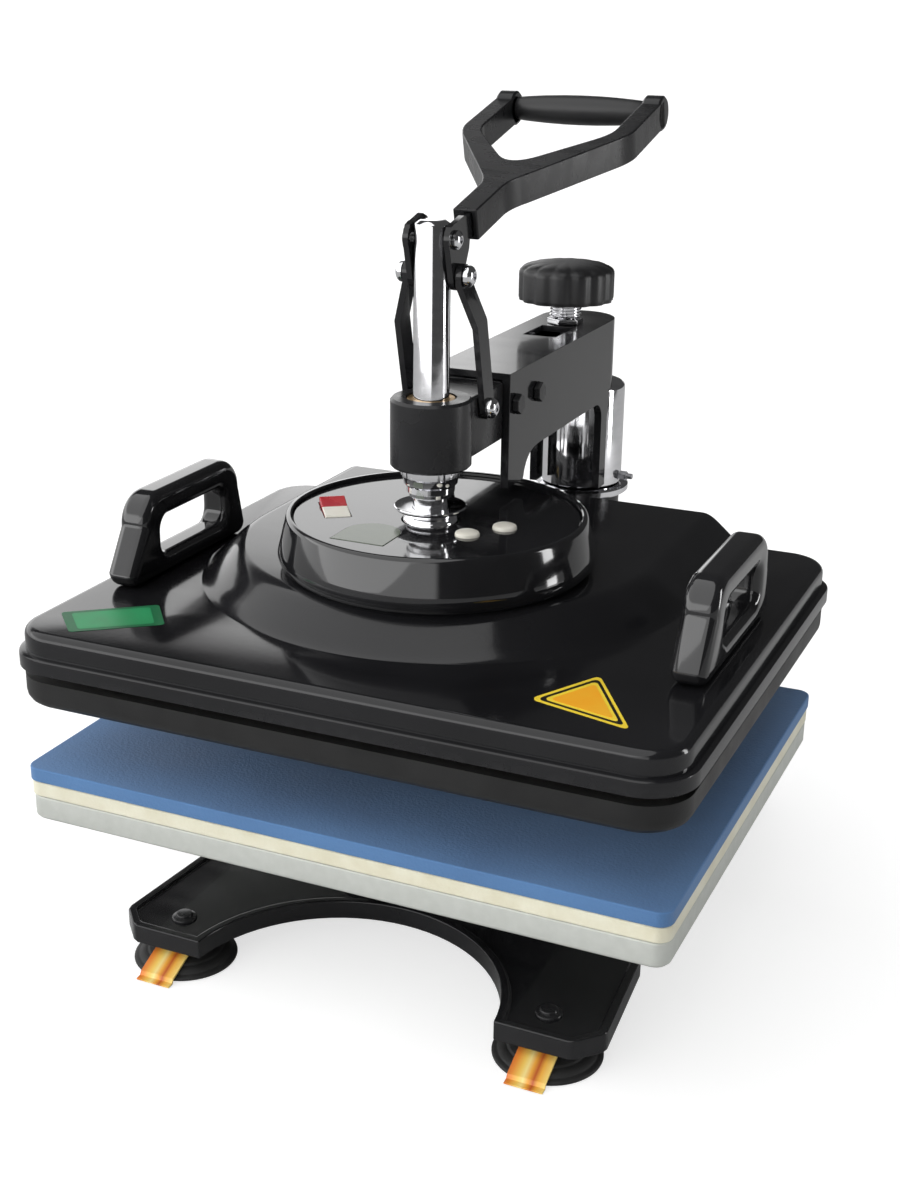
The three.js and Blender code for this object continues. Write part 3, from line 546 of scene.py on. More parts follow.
mattes = {
    "coatedPlate": {"tone": (0.022, 0.022, 0.022), "toneTwo": (0.013, 0.013, 0.013), "rough": (0.34, 0.5),
                    "cloud": 30, "grain": 900, "depth": 0.1, "specular": 0.3},
    "gripBlack": {"tone": (0.020, 0.020, 0.021), "toneTwo": (0.012, 0.012, 0.013), "rough": (0.36, 0.5),
                  "cloud": 40, "grain": 1400, "depth": 0.12, "specular": 0.5},
    "rubberBlack": {"tone": (0.022, 0.022, 0.022), "toneTwo": (0.012, 0.012, 0.012), "rough": (0.5, 0.72),
                    "cloud": 50, "grain": 700, "depth": 0.15},
    "siliconeBlue": {"tone": (0.095, 0.225, 0.46), "toneTwo": (0.075, 0.185, 0.39), "rough": (0.62, 0.8),
                     "cloud": 16, "grain": 520, "depth": 0.25, "kind": "ShaderNodeTexVoronoi",
                     "sheen": 0.15},
    "feltCream": {"tone": (0.86, 0.84, 0.68), "toneTwo": (0.76, 0.72, 0.54), "rough": (0.85, 0.98),
                  "cloud": 60, "grain": 650, "depth": 0.6, "sheen": 0.4, "specular": 0.2},
    "glassWool": {"tone": (0.80, 0.77, 0.68), "toneTwo": (0.62, 0.58, 0.48), "rough": (0.9, 1.0),
                  "cloud": 90, "grain": 500, "depth": 0.8, "sheen": 0.3},
    "boardGreen": {"tone": (0.03, 0.22, 0.08), "toneTwo": (0.02, 0.15, 0.05), "rough": (0.3, 0.45),
                   "cloud": 120, "grain": 800, "depth": 0.05},
    "switchRed": {"tone": (0.50, 0.035, 0.04), "toneTwo": (0.40, 0.02, 0.03), "rough": (0.22, 0.34),
                  "cloud": 60, "grain": 900, "depth": 0.03},
    "keyIvory": {"tone": (0.80, 0.78, 0.70), "toneTwo": (0.72, 0.69, 0.60), "rough": (0.28, 0.4),
                 "cloud": 80, "grain": 900, "depth": 0.03},
    "labelGreen": {"tone": (0.01, 0.17, 0.06), "toneTwo": (0.006, 0.11, 0.04), "rough": (0.4, 0.5),
                   "cloud": 40, "grain": 1200, "depth": 0.02},
    "labelMint": {"tone": (0.03, 0.34, 0.13), "toneTwo": (0.02, 0.26, 0.09), "rough": (0.4, 0.5),
                  "cloud": 60, "grain": 1200, "depth": 0.02},
    "labelAmber": {"tone": (1.0, 0.42, 0.02), "toneTwo": (0.98, 0.54, 0.04), "rough": (0.28, 0.4),
                   "cloud": 36, "grain": 1200, "depth": 0.02},
    "labelYellow": {"tone": (1.0, 0.76, 0.06), "toneTwo": (0.96, 0.70, 0.05), "rough": (0.28, 0.4),
                    "cloud": 60, "grain": 1200, "depth": 0.02},
    "labelInk": {"tone": (0.02, 0.018, 0.012), "toneTwo": (0.012, 0.011, 0.009), "rough": (0.3, 0.4),
                 "cloud": 60, "grain": 1200, "depth": 0.02},
    "screenGrey": {"tone": (0.13, 0.15, 0.11), "toneTwo": (0.10, 0.12, 0.09), "rough": (0.12, 0.2),
                   "cloud": 40, "grain": 900, "depth": 0.01},
}
finishes = {name: paintFinish(name, look) for name, look in paints.items()}
finishes.update({name: metalFinish(name, look) for name, look in metals.items()})
finishes.update({name: matteFinish(name, look) for name, look in mattes.items()})


def tabFinish(name, centre):
    # bands of orange, yellow and red across the tab
    finish = newFinish(name, (0.9, 0.4, 0.05), 0.4)
    tree = finish.node_tree
    place = tree.nodes.new("ShaderNodeTexCoord")
    mapping = tree.nodes.new("ShaderNodeMapping")
    mapping.inputs["Location"].default_value = (-centre / 22 + 0.5, 0, 0)
    mapping.inputs["Scale"].default_value = (1 / (22 * mm), 1, 1)
    split = tree.nodes.new("ShaderNodeSeparateXYZ")
    tree.links.new(place.outputs["Object"], mapping.inputs["Vector"])
    tree.links.new(mapping.outputs["Vector"], split.inputs[0])
    bands = [(0.0, (0.75, 0.18, 0.03)), (0.12, (0.85, 0.30, 0.04)), (0.3, (0.95, 0.62, 0.12)),
             (0.42, (0.98, 0.78, 0.30)), (0.55, (0.90, 0.42, 0.05)), (0.68, (0.55, 0.10, 0.02)),
             (0.8, (0.90, 0.45, 0.06)), (1.0, (0.97, 0.70, 0.20))]
    toneFrom(finish, split.outputs["X"], bands)
    roughFrom(finish, noiseOn(finish, 60), 0.3, 0.5)
    bumpFrom(finish, noiseOn(finish, 900), 0.05)
    return finish


print("finishes ready")


# base and feet
baseSizes = {"arch": 92, "rim": 5, "recess": 2.0, "edge": 2.0}


def baseOutline():
    front, rear, side, arch = -187, 215.5, 150, baseSizes["arch"]
    middle = -103 - arch
    start = math.degrees(math.asin((front - middle) / arch))
    right = [(side - 16, front), (side - 12, front + 2), (side - 1, front + 14), (side, front + 18)]
    right += curvePoints((side - 6, -95), (70, 5), (side - 12, 105), 26)
    right += [(side - 6, 170), (side - 10, 180), (side - 22, 192), (84, 196)]
    right += curvePoints((84, 196), (58, 170), (44, 186), 8)[1:] + [(34, rear)]
    left = [(-x, y) for x, y in reversed(right)]
    return arcPoints(0, middle, arch, 180 - start, start, 36) + right + left


def buildBase():
    low, high = spanOf("base_frame")
    base = outlinePiece("baseCasting", baseOutline(), high[2] - low[2], (0, 0, low[2]))
    openEdit(base)
    pick(base, "FACE", lambda at, out: out.z > 0.9)
    bpy.ops.mesh.inset(thickness=baseSizes["rim"] * mm, depth=0, use_even_offset=True)
    bpy.ops.mesh.extrude_region_move(TRANSFORM_OT_translate={"value": (0, 0, -baseSizes["recess"] * mm)})
    closeEdit()
    soften(base, baseSizes["edge"], 3, 40)
    finishPiece(base, "base", finishes["glossFrame"], ["base_frame"])


feetSizes = {"cup": [(0, 3), (12, 2.6), (20, 1.6), (26, 0), (30.5, 0), (30.5, 1.4), (29, 2.2), (27.6, 2.4),
                     (26.6, 3.6), (23.5, 5.0), (22.4, 5.0), (21.4, 6.2), (17, 7.6), (13.2, 8.6), (11.6, 10),
                     (11, 12), (11, 14), (4.6, 14), (4.6, 27.4), (0, 27.4)],
             "screw": [(0, 23.6), (7.4, 23.6), (7.4, 25.2), (6.8, 25.8), (5, 26.2), (5, 27), (4.4, 27.8),
                       (0, 27.8)],
             "cupEdge": 0.5, "screwEdge": 0.3, "tabX": 115}


def buildFeet():
    cup = turnPiece("footCup_first", feetSizes["cup"], steps=72)
    soften(cup, feetSizes["cupEdge"], 2, 28)
    screw = turnPiece("footScrew_first", feetSizes["screw"], steps=48)
    soften(screw, feetSizes["screwEdge"], 2, 30)
    for end in ("front", "rear"):
        for side in ("left", "right"):
            node = f"suction_foot_{end}_{side}"
            corner = end + side.capitalize()
            nextCup = copyPiece(cup, "footCup_" + corner, shift=nodePlace(node))
            finishPiece(nextCup, "base", finishes["rubberBlack"], [node])
            nextScrew = copyPiece(screw, "footScrew_" + corner, shift=nodePlace(node))
            finishPiece(nextScrew, "base", finishes["satinFrame"])
    bpy.data.objects.remove(cup, do_unlink=True)
    bpy.data.objects.remove(screw, do_unlink=True)
    for side, centre in (("left", -feetSizes["tabX"]), ("right", feetSizes["tabX"])):
        refineNode("foot_tab_" + side, "base", tabFinish("tabBands_" + side, centre), 0.25, 2)


columnSizes = {"tube": 27, "core": 18, "shoulder": 211.7, "top": 287, "gusset": 5, "gussetX": (-14, 9),
               "gussetReach": (25.8, 62), "bore": 18.3, "sleeve": (218.4, 288)}


def buildColumn():
    y, foot = columnY, spanOf("column_post")[0][2]
    tube, core, bore = columnSizes["tube"], columnSizes["core"], columnSizes["bore"]
    shoulder, top = columnSizes["shoulder"], columnSizes["top"]
    post = turnPiece("columnTube", [
        (0, foot), (tube + 2.4, foot), (tube + 2.2, foot + 1.2), (tube + 0.6, foot + 2.8),
        (tube, foot + 3.4), (tube, shoulder - 0.5), (tube - 0.6, shoulder), (core, shoulder),
        (core, top - 0.6), (core - 0.8, top), (0, top)], (0, y, 0))
    gussets = []
    near, far = columnSizes["gussetReach"]
    for x in columnSizes["gussetX"]:
        rib = outlinePiece(f"columnRib_{x}", [
            (y - far, foot), (y - near, foot), (y - near, foot + far), (y - 29, foot + far),
            (y - far, foot + 6)], columnSizes["gusset"], (x, 0, 0), sideways)
        soften(rib, 0.6, 2, 40)
        gussets.append(rib)
    joinTo(post, *gussets)
    finishPiece(post, "base", finishes["satinFrame"], ["column_post"])
    low, high = spanOf("column_collar")
    collar = turnPiece("columnRing", [
        (bore, low[2]), (31.6, low[2]), (33, low[2] + 1.2), (33, high[2] - 1.2), (31.6, high[2]),
        (bore, high[2]), (bore, low[2])], (0, y, 0))
    finishPiece(collar, "base", finishes["chromePlate"], ["column_collar"])
    lower, upper = columnSizes["sleeve"]
    sleeve = turnPiece("armSleeve", [
        (bore, lower), (26.6, lower), (28, lower + 1.2), (28, upper - 2.4), (27.6, upper - 1.4),
        (26, upper), (bore, upper), (bore, lower)], (0, y, 0))
    finishPiece(sleeve, "swing_arm", finishes["chromePlate"], ["swing_sleeve"])
    refineNode("sleeve_set_bolt", "swing_arm", finishes["bareSteel"], 0.3, 2)


supportSizes = {"bolt": [(0, 29.8), (6.4, 29.8), (6.4, 30.8), (5, 30.8), (5, 33.2), (4.4, 33.8), (0, 33.8)],
                "boltPlaces": [(-42, -82), (42, -82), (-42, 52), (42, 52)]}


def buildSupport():
    refineNode("platen_pedestal", "base", finishes["satinFrame"], 1.0, 3)
    refineNode("platen_stop_bracket", "base", finishes["castAluminium"], 0.6, 2)
    first = turnPiece("pedestalBolt_1", supportSizes["bolt"], steps=6)
    soften(first, 0.3, 2, 30)
    for i, (x, y) in enumerate(supportSizes["boltPlaces"][1:]):
        bolt = copyPiece(first, f"pedestalBolt_{i + 2}", shift=(x, y, 0))
        finishPiece(bolt, "base", finishes["bareSteel"])
    setDown(first, (*supportSizes["boltPlaces"][0], 0))
    finishPiece(first, "base", finishes["bareSteel"])


buildBase()
buildFeet()
buildColumn()
buildSupport()
print("base, feet, column and pedestal made")


# lower platen, foam and pad
stackSizes = {"corner": 9, "sheetCorner": 8, "sheetEdge": 1.0, "foamWave": 0.35, "padWave": 0.16,
              "cells": (30, 24)}


def gridThrough(piece, low, high, cells):
    # cuts a flat slab into a fine grid so that it can wave a little
    openEdit(piece)
    for axis in (0, 1):
        for i in range(1, cells[axis]):
            at, out = [0, 0, 0], [0, 0, 0]
            at[axis] = (low[axis] + (high[axis] - low[axis]) * i / cells[axis]) * mm
            out[axis] = 1
            bpy.ops.mesh.select_all(action="SELECT")
            bpy.ops.mesh.bisect(plane_co=at, plane_no=out)
    closeEdit()


def wave(piece, strength, size, direction):
    texture = bpy.data.textures.new(piece.name + "Wave", "CLOUDS")
    texture.noise_scale = size * mm
    modify(piece, "DISPLACE", texture=texture, strength=strength * mm, mid_level=0.5, direction=direction)


def buildStack():
    low, high = spanOf("lower_platen")
    middle, half = middleAndHalf("lower_platen")
    plate = roundedSlab("lowerPlate", middle, half, stackSizes["corner"], high[2] - 0.6,
                        [(-(high[2] - low[2] - 3.4), 0), (-0.8, 0.3), (-1.4, 1.4), (-0.6, 1.6)])
    openEdit(plate)
    pick(plate, "FACE", lambda at, out: at.z > (high[2] - 0.7) * mm)
    bpy.ops.mesh.inset(thickness=0.6 * mm, depth=0.6 * mm)
    closeEdit()
    finishPiece(plate, "base", finishes["castAluminium"], ["lower_platen"])
    for node, name, slot, finish in (("felt_layer", "foamSheet", "felt_cream", "feltCream"),
                                     ("silicone_pad", "pressPad", "silicone_blue", "siliconeBlue")):
        low, high = spanOf(node)
        half = middleAndHalf(node)[1]
        sheet = roundedSlab(name, middle, half, stackSizes["sheetCorner"], low[2], [(high[2] - low[2], 0)],
                            8)
        soften(sheet, stackSizes["sheetEdge"], 4, 60)
        gridThrough(sheet, low, high, stackSizes["cells"])
        if node == "felt_layer":
            wave(sheet, stackSizes["foamWave"], 7, "NORMAL")
        else:
            wave(sheet, stackSizes["padWave"], 46, "Z")
        finishPiece(sheet, "base", finishes[finish], [node], 50)


buildStack()
print("lower platen, foam and pad made")


# swing arm
armSizes = {"edge": 1.1, "collar": 22.75, "bore": 14.2, "noseHalf": 21}


def buildArm():
    refineNode("arm_channel", "swing_arm", finishes["glossFrame"], armSizes["edge"], 3,
               40)
    low, high = spanOf("guide_casting")
    collar = turnPiece("guideCollar", [
        (armSizes["bore"], low[2]), (21.6, low[2]), (armSizes["collar"], low[2] + 1.2),
        (armSizes["collar"], high[2] - 1.6), (21.4, high[2]), (armSizes["bore"], high[2]),
        (armSizes["bore"], low[2])], (0, shaftY, 0), steps=128)
    nose = armSizes["noseHalf"]
    block = outlinePiece("guideNose", [(-nose, -68), (nose, -68), (nose, -17.3), (-nose, -17.3)],
                         high[2] - 297.5, (0, 0, 296.5))
    openEdit(block)
    pick(block, "FACE", lambda at, out: out.y < -0.9)
    bpy.ops.mesh.delete(type="FACE")
    closeEdit()
    mergeUp(block)
    openEdit(block)
    bpy.ops.mesh.select_mode(type="EDGE")
    bpy.ops.mesh.select_all(action="SELECT")
    bpy.ops.mesh.region_to_loop()
    bpy.ops.mesh.edge_face_add()
    closeEdit()
    soften(block, 1.4, 3, 50)
    well = turnPiece("guideWell",
                     [(0, low[2] - 2), (18.5, low[2] - 2), (18.5, high[2] + 2), (0, high[2] + 2)],
                     (0, shaftY, 0))
    cutWith(block, well)
    tail = outlinePiece("guideTail", [(-19.4, -17.5), (19.4, -17.5), (19.4, 52), (-19.4, 52)],
                        high[2] - 296.8, (0, 0, 296))
    soften(tail, 0.8, 2, 50)
    joinTo(collar, block, tail)
    collar.name = "guideCasting"
    finishPiece(collar, "swing_arm", finishes["satinFrame"], ["guide_casting"])
    low, high = spanOf("guide_bush")
    bush = turnPiece("guideBush", [
        (10.1, low[2]), (13.6, low[2]), (13.6, high[2] - 0.5), (13.1, high[2]), (10.6, high[2]),
        (10.1, high[2] - 0.5), (10.1, low[2])], (0, shaftY, 0), steps=72)
    finishPiece(bush, "swing_arm", finishes["bushBronze"], ["guide_bush"])
    low, high = spanOf("bush_gland_nut")
    gland = turnPiece("glandNut", [
        (11, low[2]), (12.2, low[2]), (12.6, low[2] + 2.2), (13.6, low[2] + 2.6), (13.8, low[2] + 6),
        (15.2, low[2] + 7.4), (15.6, low[2] + 10.6), (16.8, low[2] + 12), (17, high[2]), (11, high[2]),
        (11, low[2])], (0, shaftY, 0))
    finishPiece(gland, "swing_arm", finishes["chromePlate"], ["bush_gland_nut"])
    for node in ("arm_bolt_front", "arm_bolt_rear"):
        refineNode(node, "swing_arm", finishes["satinFrame"], 0.5, 2)
    refineNode("screw_lock_nut", "swing_arm", finishes["chromePlate"], 0.5, 2)


knobSizes = {"height": 24.5, "flutes": 14, "radius": 31, "flute": 1.5, "pitch": 1.75, "thread": 6,
             "neckPitch": 2.0,
             "levels": [
    (1.6, 1.012), (2.6, 1.015), (17.0, 1.015), (18.6, 1.008), (19.8, 0.99), (20.8, 0.955), (21.8, 0.9),
    (22.9, 0.8), (23.7, 0.66), (24.2, 0.46), (24.5, 0.2)], "underside": [(0, 0.93), (1.6, 0.9), (0, 0.45)]}


def buildKnob():
    low, high = spanOf("pressure_knob")
    middle, bottom = knobY, high[2] - knobSizes["height"]
    widest = max(size for z, size in knobSizes["levels"])
    rim = []
    for i in range(knobSizes["flutes"] * 12):
        turn = 2 * math.pi * i / (knobSizes["flutes"] * 12)
        dip = knobSizes["flute"] * (0.5 - 0.5 * math.cos(turn * knobSizes["flutes"])) ** 2
        reach = knobSizes["radius"] / widest - dip
        rim.append((reach * math.cos(turn), reach * math.sin(turn)))
    knob = outlinePiece("knobHead", rim, 1.0, (0, middle, bottom))
    openEdit(knob)
    pick(knob, "FACE", lambda at, out: out.z > 0.9)
    height, reach = 1.0, 1.0
    for z, size in knobSizes["levels"]:
        bpy.ops.mesh.extrude_region_move(TRANSFORM_OT_translate={"value": (0, 0, (z - height) * mm)})
        bpy.ops.transform.resize(value=(size / reach, size / reach, 1), center_override=(0, middle * mm, 0))
        height, reach = z, size
    pick(knob, "FACE", lambda at, out: out.z < -0.9)
    for sink, size in knobSizes["underside"]:
        bpy.ops.mesh.extrude_region_move(TRANSFORM_OT_translate={"value": (0, 0, sink * mm)})
        bpy.ops.transform.resize(value=(size, size, 1), center_override=(0, middle * mm, 0))
    closeEdit()
    finishPiece(knob, "knob", finishes["gripBlack"], ["pressure_knob"], 40)
    neck = [(6.3, low[2]), (9.6, low[2])]
    z = low[2] + 0.5
    while z < bottom + 1.4:
        neck += [(9.7, z), (10.4, z + 0.6), (10.4, z + 0.9), (9.7, z + 1.5)]
        z += knobSizes["neckPitch"]
    neck += [(9.7, bottom + 3), (6.3, bottom + 3), (6.3, low[2])]
    stem = turnPiece("knobNeck", neck, (0, middle, 0), steps=64)
    finishPiece(stem, "knob", finishes["chromePlate"], angle=20)
    low, high = spanOf("pressure_screw")
    profile = [(0, low[2]), (5.2, low[2])]
    z = low[2] + 0.6
    while z < high[2] - 2:
        profile += [(5.35, z), (knobSizes["thread"], z + 0.7), (knobSizes["thread"], z + 0.95),
                    (5.35, z + 1.6)]
        z += knobSizes["pitch"]
    profile += [(5.2, high[2]), (0, high[2])]
    screw = turnPiece("pressureScrew", profile, (0, middle, 0), steps=48)
    finishPiece(screw, "knob", finishes["chromePlate"], ["pressure_screw"], 20)
    refineNode("trunnion_nut", "nut_block", finishes["bareSteel"], 0.5, 2)


buildArm()
buildKnob()
print("arm, guide and pressure screw made")


# shaft, flange and hub
def buildShaft():
    low, high = spanOf("press_shaft")
    shaft = turnPiece("pressShaft", [
        (0, low[2]), (10, low[2]), (10, high[2] - 3), (9.6, high[2] - 2), (7.2, high[2] - 0.3),
        (6.4, high[2]), (0, high[2])], (0, shaftY, 0), steps=128)
    drill = turnPiece("pivotDrill", [(0, -14), (4.3, -14), (4.3, 14), (0, 14)], leverPivot, "X", 48)
    cutWith(shaft, drill)
    finishPiece(shaft, "press_head", finishes["chromePlate"], ["press_shaft"], 30)
    low, high = spanOf("height_flange")
    z = low[2]
    flange = turnPiece("heightFlange", [
        (10.3, z), (14.4, z), (15.4, z + 0.6), (17.5, z + 2), (19.6, z + 3.2), (20.5, z + 4.2),
        (20.5, z + 4.8), (20, z + 5.2), (17, z + 4.4), (13.6, z + 3.9), (10.3, z + 3.6), (10.3, z)],
        (0, shaftY, 0), steps=128)
    finishPiece(flange, "press_head", finishes["chromePlate"], ["height_flange"])
    low, high = spanOf("hub_nut")
    hub = turnPiece("hubNut", [
        (10.3, low[2]), (22, low[2]), (22, 210.6), (21.4, 211), (15.5, 211), (15.5, 260.9), (15.1, 261.6),
        (13.5, high[2]), (10.3, high[2]), (10.3, low[2])], (0, shaftY, 0), steps=128)
    finishPiece(hub, "press_head", finishes["chromePlate"], ["hub_nut"])


buildShaft()


# head cover and hot plate
coverSizes = {"half": (191.5, 161), "lip": 3.5, "corner": 28, "wall": 2.2, "edge": 5, "raised": (-11, -17),
              "raisedRadius": 149, "rearStep": 4.4, "slots": 5, "slotPitch": 9, "slot": (34, 4),
              "slotStart": (-148, 32), "shaftHole": 16, "inletX": (-76.4, -47.6), "inletY": (92, 125),
              "raisedLevels": [(0.5, 147.8), (1.6, 146.0), (3.6, 143.6), (6.0, 141.2), (15.0, 132.0),
                               (17.6, 129.0), (19.2, 126.4), (20.0, 124.2), (20.3, 122.0)]}


def buildCover():
    low, high = spanOf("head_cover")
    halfX, halfY = coverSizes["half"][0] + coverSizes["lip"], coverSizes["half"][1] + coverSizes["lip"]
    middleY = (low[1] + high[1]) / 2
    top = coverTop
    radius = coverSizes["edge"]
    levels = [(7.0, 0), (0.9, 0.25), (0.6, 0.9), (0.1, 2.6), (1.0, 0.0), (top - low[2] - 9.6 - radius, 0)]
    levels += roundedEdge(radius, 6)
    cover = roundedSlab("headCover", (0, middleY), (halfX, halfY), coverSizes["corner"], low[2], levels, 14)
    raisedX, raisedY = coverSizes["raised"]
    rear = high[1] - coverSizes["lip"] - radius - 0.9
    ring = coverSizes["raisedRadius"]
    points = arcPoints(raisedX, raisedY, ring, 180, 360, 72)
    points += [(raisedX + ring, rear), (raisedX - ring, rear)]
    dome = outlinePiece("raisedTop", points, 0.01, (0, 0, top - 0.01))
    openEdit(dome)
    pick(dome, "FACE", lambda at, out: out.z > 0.9)
    height, size, back = 0.0, ring, rear
    for z, wide in coverSizes["raisedLevels"]:
        bpy.ops.mesh.extrude_region_move(TRANSFORM_OT_translate={"value": (0, 0, (z - height) * mm)})
        shrink = wide / size
        bpy.ops.transform.resize(value=(shrink, shrink, 1), center_override=(raisedX * mm, raisedY * mm, 0))
        moved = raisedY + (back - raisedY) * shrink
        wanted = rear - min(coverSizes["rearStep"], z * 0.22)
        mesh = bmesh.from_edit_mesh(dome.data)
        for vert in [v for v in mesh.verts if v.select and v.co.y > (moved - 0.05) * mm]:
            vert.co.y = wanted * mm
        bmesh.update_edit_mesh(dome.data)
        height, size, back = z, wide, wanted
    closeEdit()
    # the flat top and the raised part become one skin
    openEdit(cover)
    pick(cover, "FACE", lambda at, out: out.z > 0.9 and at.z > (top - 0.02) * mm)
    bpy.ops.mesh.delete(type="FACE")
    pick(cover, "FACE", lambda at, out: at.z < (low[2] + 0.01) * mm)
    bpy.ops.mesh.delete(type="FACE")
    closeEdit()
    openEdit(dome)
    pick(dome, "FACE", lambda at, out: out.z < -0.9)
    bpy.ops.mesh.delete(type="FACE")
    closeEdit()
    joinTo(cover, dome)
    openEdit(cover)
    bpy.ops.mesh.select_mode(type="EDGE")
    bpy.ops.mesh.select_all(action="DESELECT")
    mesh = bmesh.from_edit_mesh(cover.data)
    for edge in mesh.edges:
        edge.select_set(edge.is_boundary and edge.verts[0].co.z > (top - 0.1) * mm)
    bmesh.update_edit_mesh(cover.data)
    bpy.ops.mesh.bridge_edge_loops()
    closeEdit()
    mergeUp(cover)
    modify(cover, "SOLIDIFY", thickness=coverSizes["wall"] * mm, offset=-1, use_even_offset=True)
    hole = coverSizes["shaftHole"]
    bore = turnPiece("shaftBore", [(0, 222), (hole, 222), (hole, 236), (0, 236)], (0, shaftY, 0), steps=64)
    cutWith(cover, bore)
    long, wide = coverSizes["slot"]
    slotX, slotY = coverSizes["slotStart"]
    ends = arcPoints(-long / 2, 0, wide / 2, 90, 270, 6) + arcPoints(long / 2, 0, wide / 2, -90, 90, 6)
    for i in range(coverSizes["slots"]):
        y = slotY + i * coverSizes["slotPitch"]
        cutWith(cover, outlinePiece(f"ventCut{i}", ends, 10, (slotX, y + wide / 2, top + 5)))
    (x0, x1), (y0, y1) = coverSizes["inletX"], coverSizes["inletY"]
    cutWith(cover, outlinePiece("inletCut", [(x0, y0), (x1, y0), (x1, y1), (x0, y1)], 21, (0, 0, top - 10)))
    finishPiece(cover, "press_head", finishes["glossCover"], ["head_cover"], 32)


def buildHotPlate():
    top = spanOf("heat_platen")[1][2]
    middle, half = middleAndHalf("heat_platen")
    plate = roundedSlab("hotPlate", (0, middle[1]), half, 26, top,
                        [(-9.5, 0), (-2.6, 0.5), (-2.4, 1.5), (-1.6, 2.2), (-0.9, 2.6), (-0.5, 3.0)], 14)
    finishPiece(plate, "press_head", finishes["coatedPlate"], ["heat_platen"])
    refineNode("heating_element", "press_head", finishes["bareSteel"], 1.2, 3)
    refineNode("insulation_blanket", "press_head", finishes["glassWool"], 1.5, 3)
    refineNode("hub_plate", "press_head", finishes["bareSteel"], 0.8, 2)
    for i in range(4):
        refineNode(f"platen_stud_{i + 1}", "press_head", finishes["bareSteel"], 0.4, 2)


stickerSizes = {"thick": 0.18, "step": 0.07}


def sticker(name, corners, radius, bands):
    # a flat label: each band is a slightly smaller and higher sheet, given by its share of the whole
    middle = [sum(corner[i] for corner in corners) / len(corners) for i in (0, 1)]
    sheets = []
    for layer, (finish, share) in enumerate(bands):
        points = [[middle[i] + (corner[i] - middle[i]) * share for i in (0, 1)] for corner in corners]
        sheet = outlinePiece(name, points, stickerSizes["thick"] + layer * stickerSizes["step"],
                             (0, 0, coverTop + 0.02))
        openEdit(sheet)
        pick(sheet, "EDGE", lambda a, b: abs(a.z - b.z) > 0.1 * mm)
        bpy.ops.mesh.bevel(offset=radius * share * mm, segments=6, affect="EDGES")
        closeEdit()
        sheet.data.materials.append(finish)
        sheets.append(sheet)
    joinTo(*sheets)
    return sheets[0]


def buildStickers():
    strip = sticker("coverStrip", [(-179, -178), (-157, -201), (-116, -169), (-136, -144)], 2.5,
                    [(finishes["labelGreen"], 1.0), (finishes["labelMint"], 0.8)])
    finishPiece(strip, "press_head", finishes["labelGreen"])
    amber = sticker("coverTriangle", [(103, -177), (160, -191), (125, -134)], 5, [
        (finishes["labelYellow"], 1.0), (finishes["labelInk"], 0.88), (finishes["labelYellow"], 0.76),
        (finishes["labelAmber"], 0.64)])
    finishPiece(amber, "press_head", finishes["labelAmber"])


buildCover()
buildHotPlate()
buildStickers()
print("head cover and hot plate made")


# control housing
housingSizes = {"middle": (0, -62), "cut": (250, 266), "hubHole": 16.5, "keyHole": 7.3,
                "rocker": (-57, -78), "rockerHalf": (7.9, 15.4), "rockerTurn": 35}


def buildHousing():
    low, high = spanOf("control_box")
    bottom, top = low[2], high[2]
    panelTop = spanOf("control_panel")[1][2]
    place = (*housingSizes["middle"], 0)
    housing = turnPiece("controlHousing", [
        (70, bottom), (85.2, bottom), (87.6, bottom + 1.4), (89.8, bottom + 4), (90.9, bottom + 7),
        (91, bottom + 9.4), (90.4, bottom + 12), (86.2, top - 2.2), (85.6, top - 0.8), (84.6, top),
        (83.2, top), (82.5, top - 0.7), (82.5, panelTop - 2.3), (78, panelTop - 2.3), (78, panelTop - 4.6),
        (82, panelTop - 5), (87.5, bottom + 9), (83, bottom + 2.5), (70, bottom + 2.5), (70, bottom)],
        place, steps=160)
    finishPiece(housing, "press_head", finishes["glossHousing"], ["control_box"], 40)
    panel = turnPiece("controlPanel", [(0, panelTop - 2.1), (81.9, panelTop - 2.1), (81.9, panelTop - 0.7),
                                       (81.2, panelTop), (0, panelTop)], place, steps=160)
    under, over = housingSizes["cut"]
    hub, key = housingSizes["hubHole"], housingSizes["keyHole"]
    cuts = [turnPiece("hubCut", [(0, under), (hub, under), (hub, over), (0, over)], (0, shaftY, 0),
                      steps=64)]
    for node in ("mode_button", "set_button"):
        cuts.append(turnPiece(node + "Cut", [(0, under), (key, under), (key, over), (0, over)],
                              nodePlace(node), steps=48))
    halfX, halfY = housingSizes["rockerHalf"]
    rocker = outlinePiece("rockerCut", [(-halfX, -halfY), (halfX, -halfY), (halfX, halfY), (-halfX, halfY)],
                          over - under, (*housingSizes["rocker"], under),
                          (0, 0, housingSizes["rockerTurn"]))
    a, b = spanOf("display_window")
    middle, spring, half = (a[0] + b[0]) / 2, b[1] - (b[0] - a[0]) / 2, (b[0] - a[0]) / 2
    pane = [(middle - half, a[1]), (middle + half, a[1])] + arcPoints(middle, spring, half, 0, 180, 32)
    wide = [(middle + (x - middle) * 1.02, spring + (y - spring) * 1.012) for x, y in pane]
    for cutter in cuts + [rocker, outlinePiece("paneCut", wide, 8, (0, 0, panelTop - 0.8))]:
        cutWith(panel, cutter)
    soften(panel, 0.25, 2, 50)
    finishPiece(panel, "press_head", finishes["glossHousing"], ["control_panel"], 40)
    window = outlinePiece("displayPane", pane, 0.8, (0, 0, panelTop - 0.5))
    soften(window, 0.3, 3, 50)
    finishPiece(window, "press_head", finishes["screenGrey"], ["display_window"])
    refineNode("circuit_board", "press_head", finishes["boardGreen"], 0.2, 2)


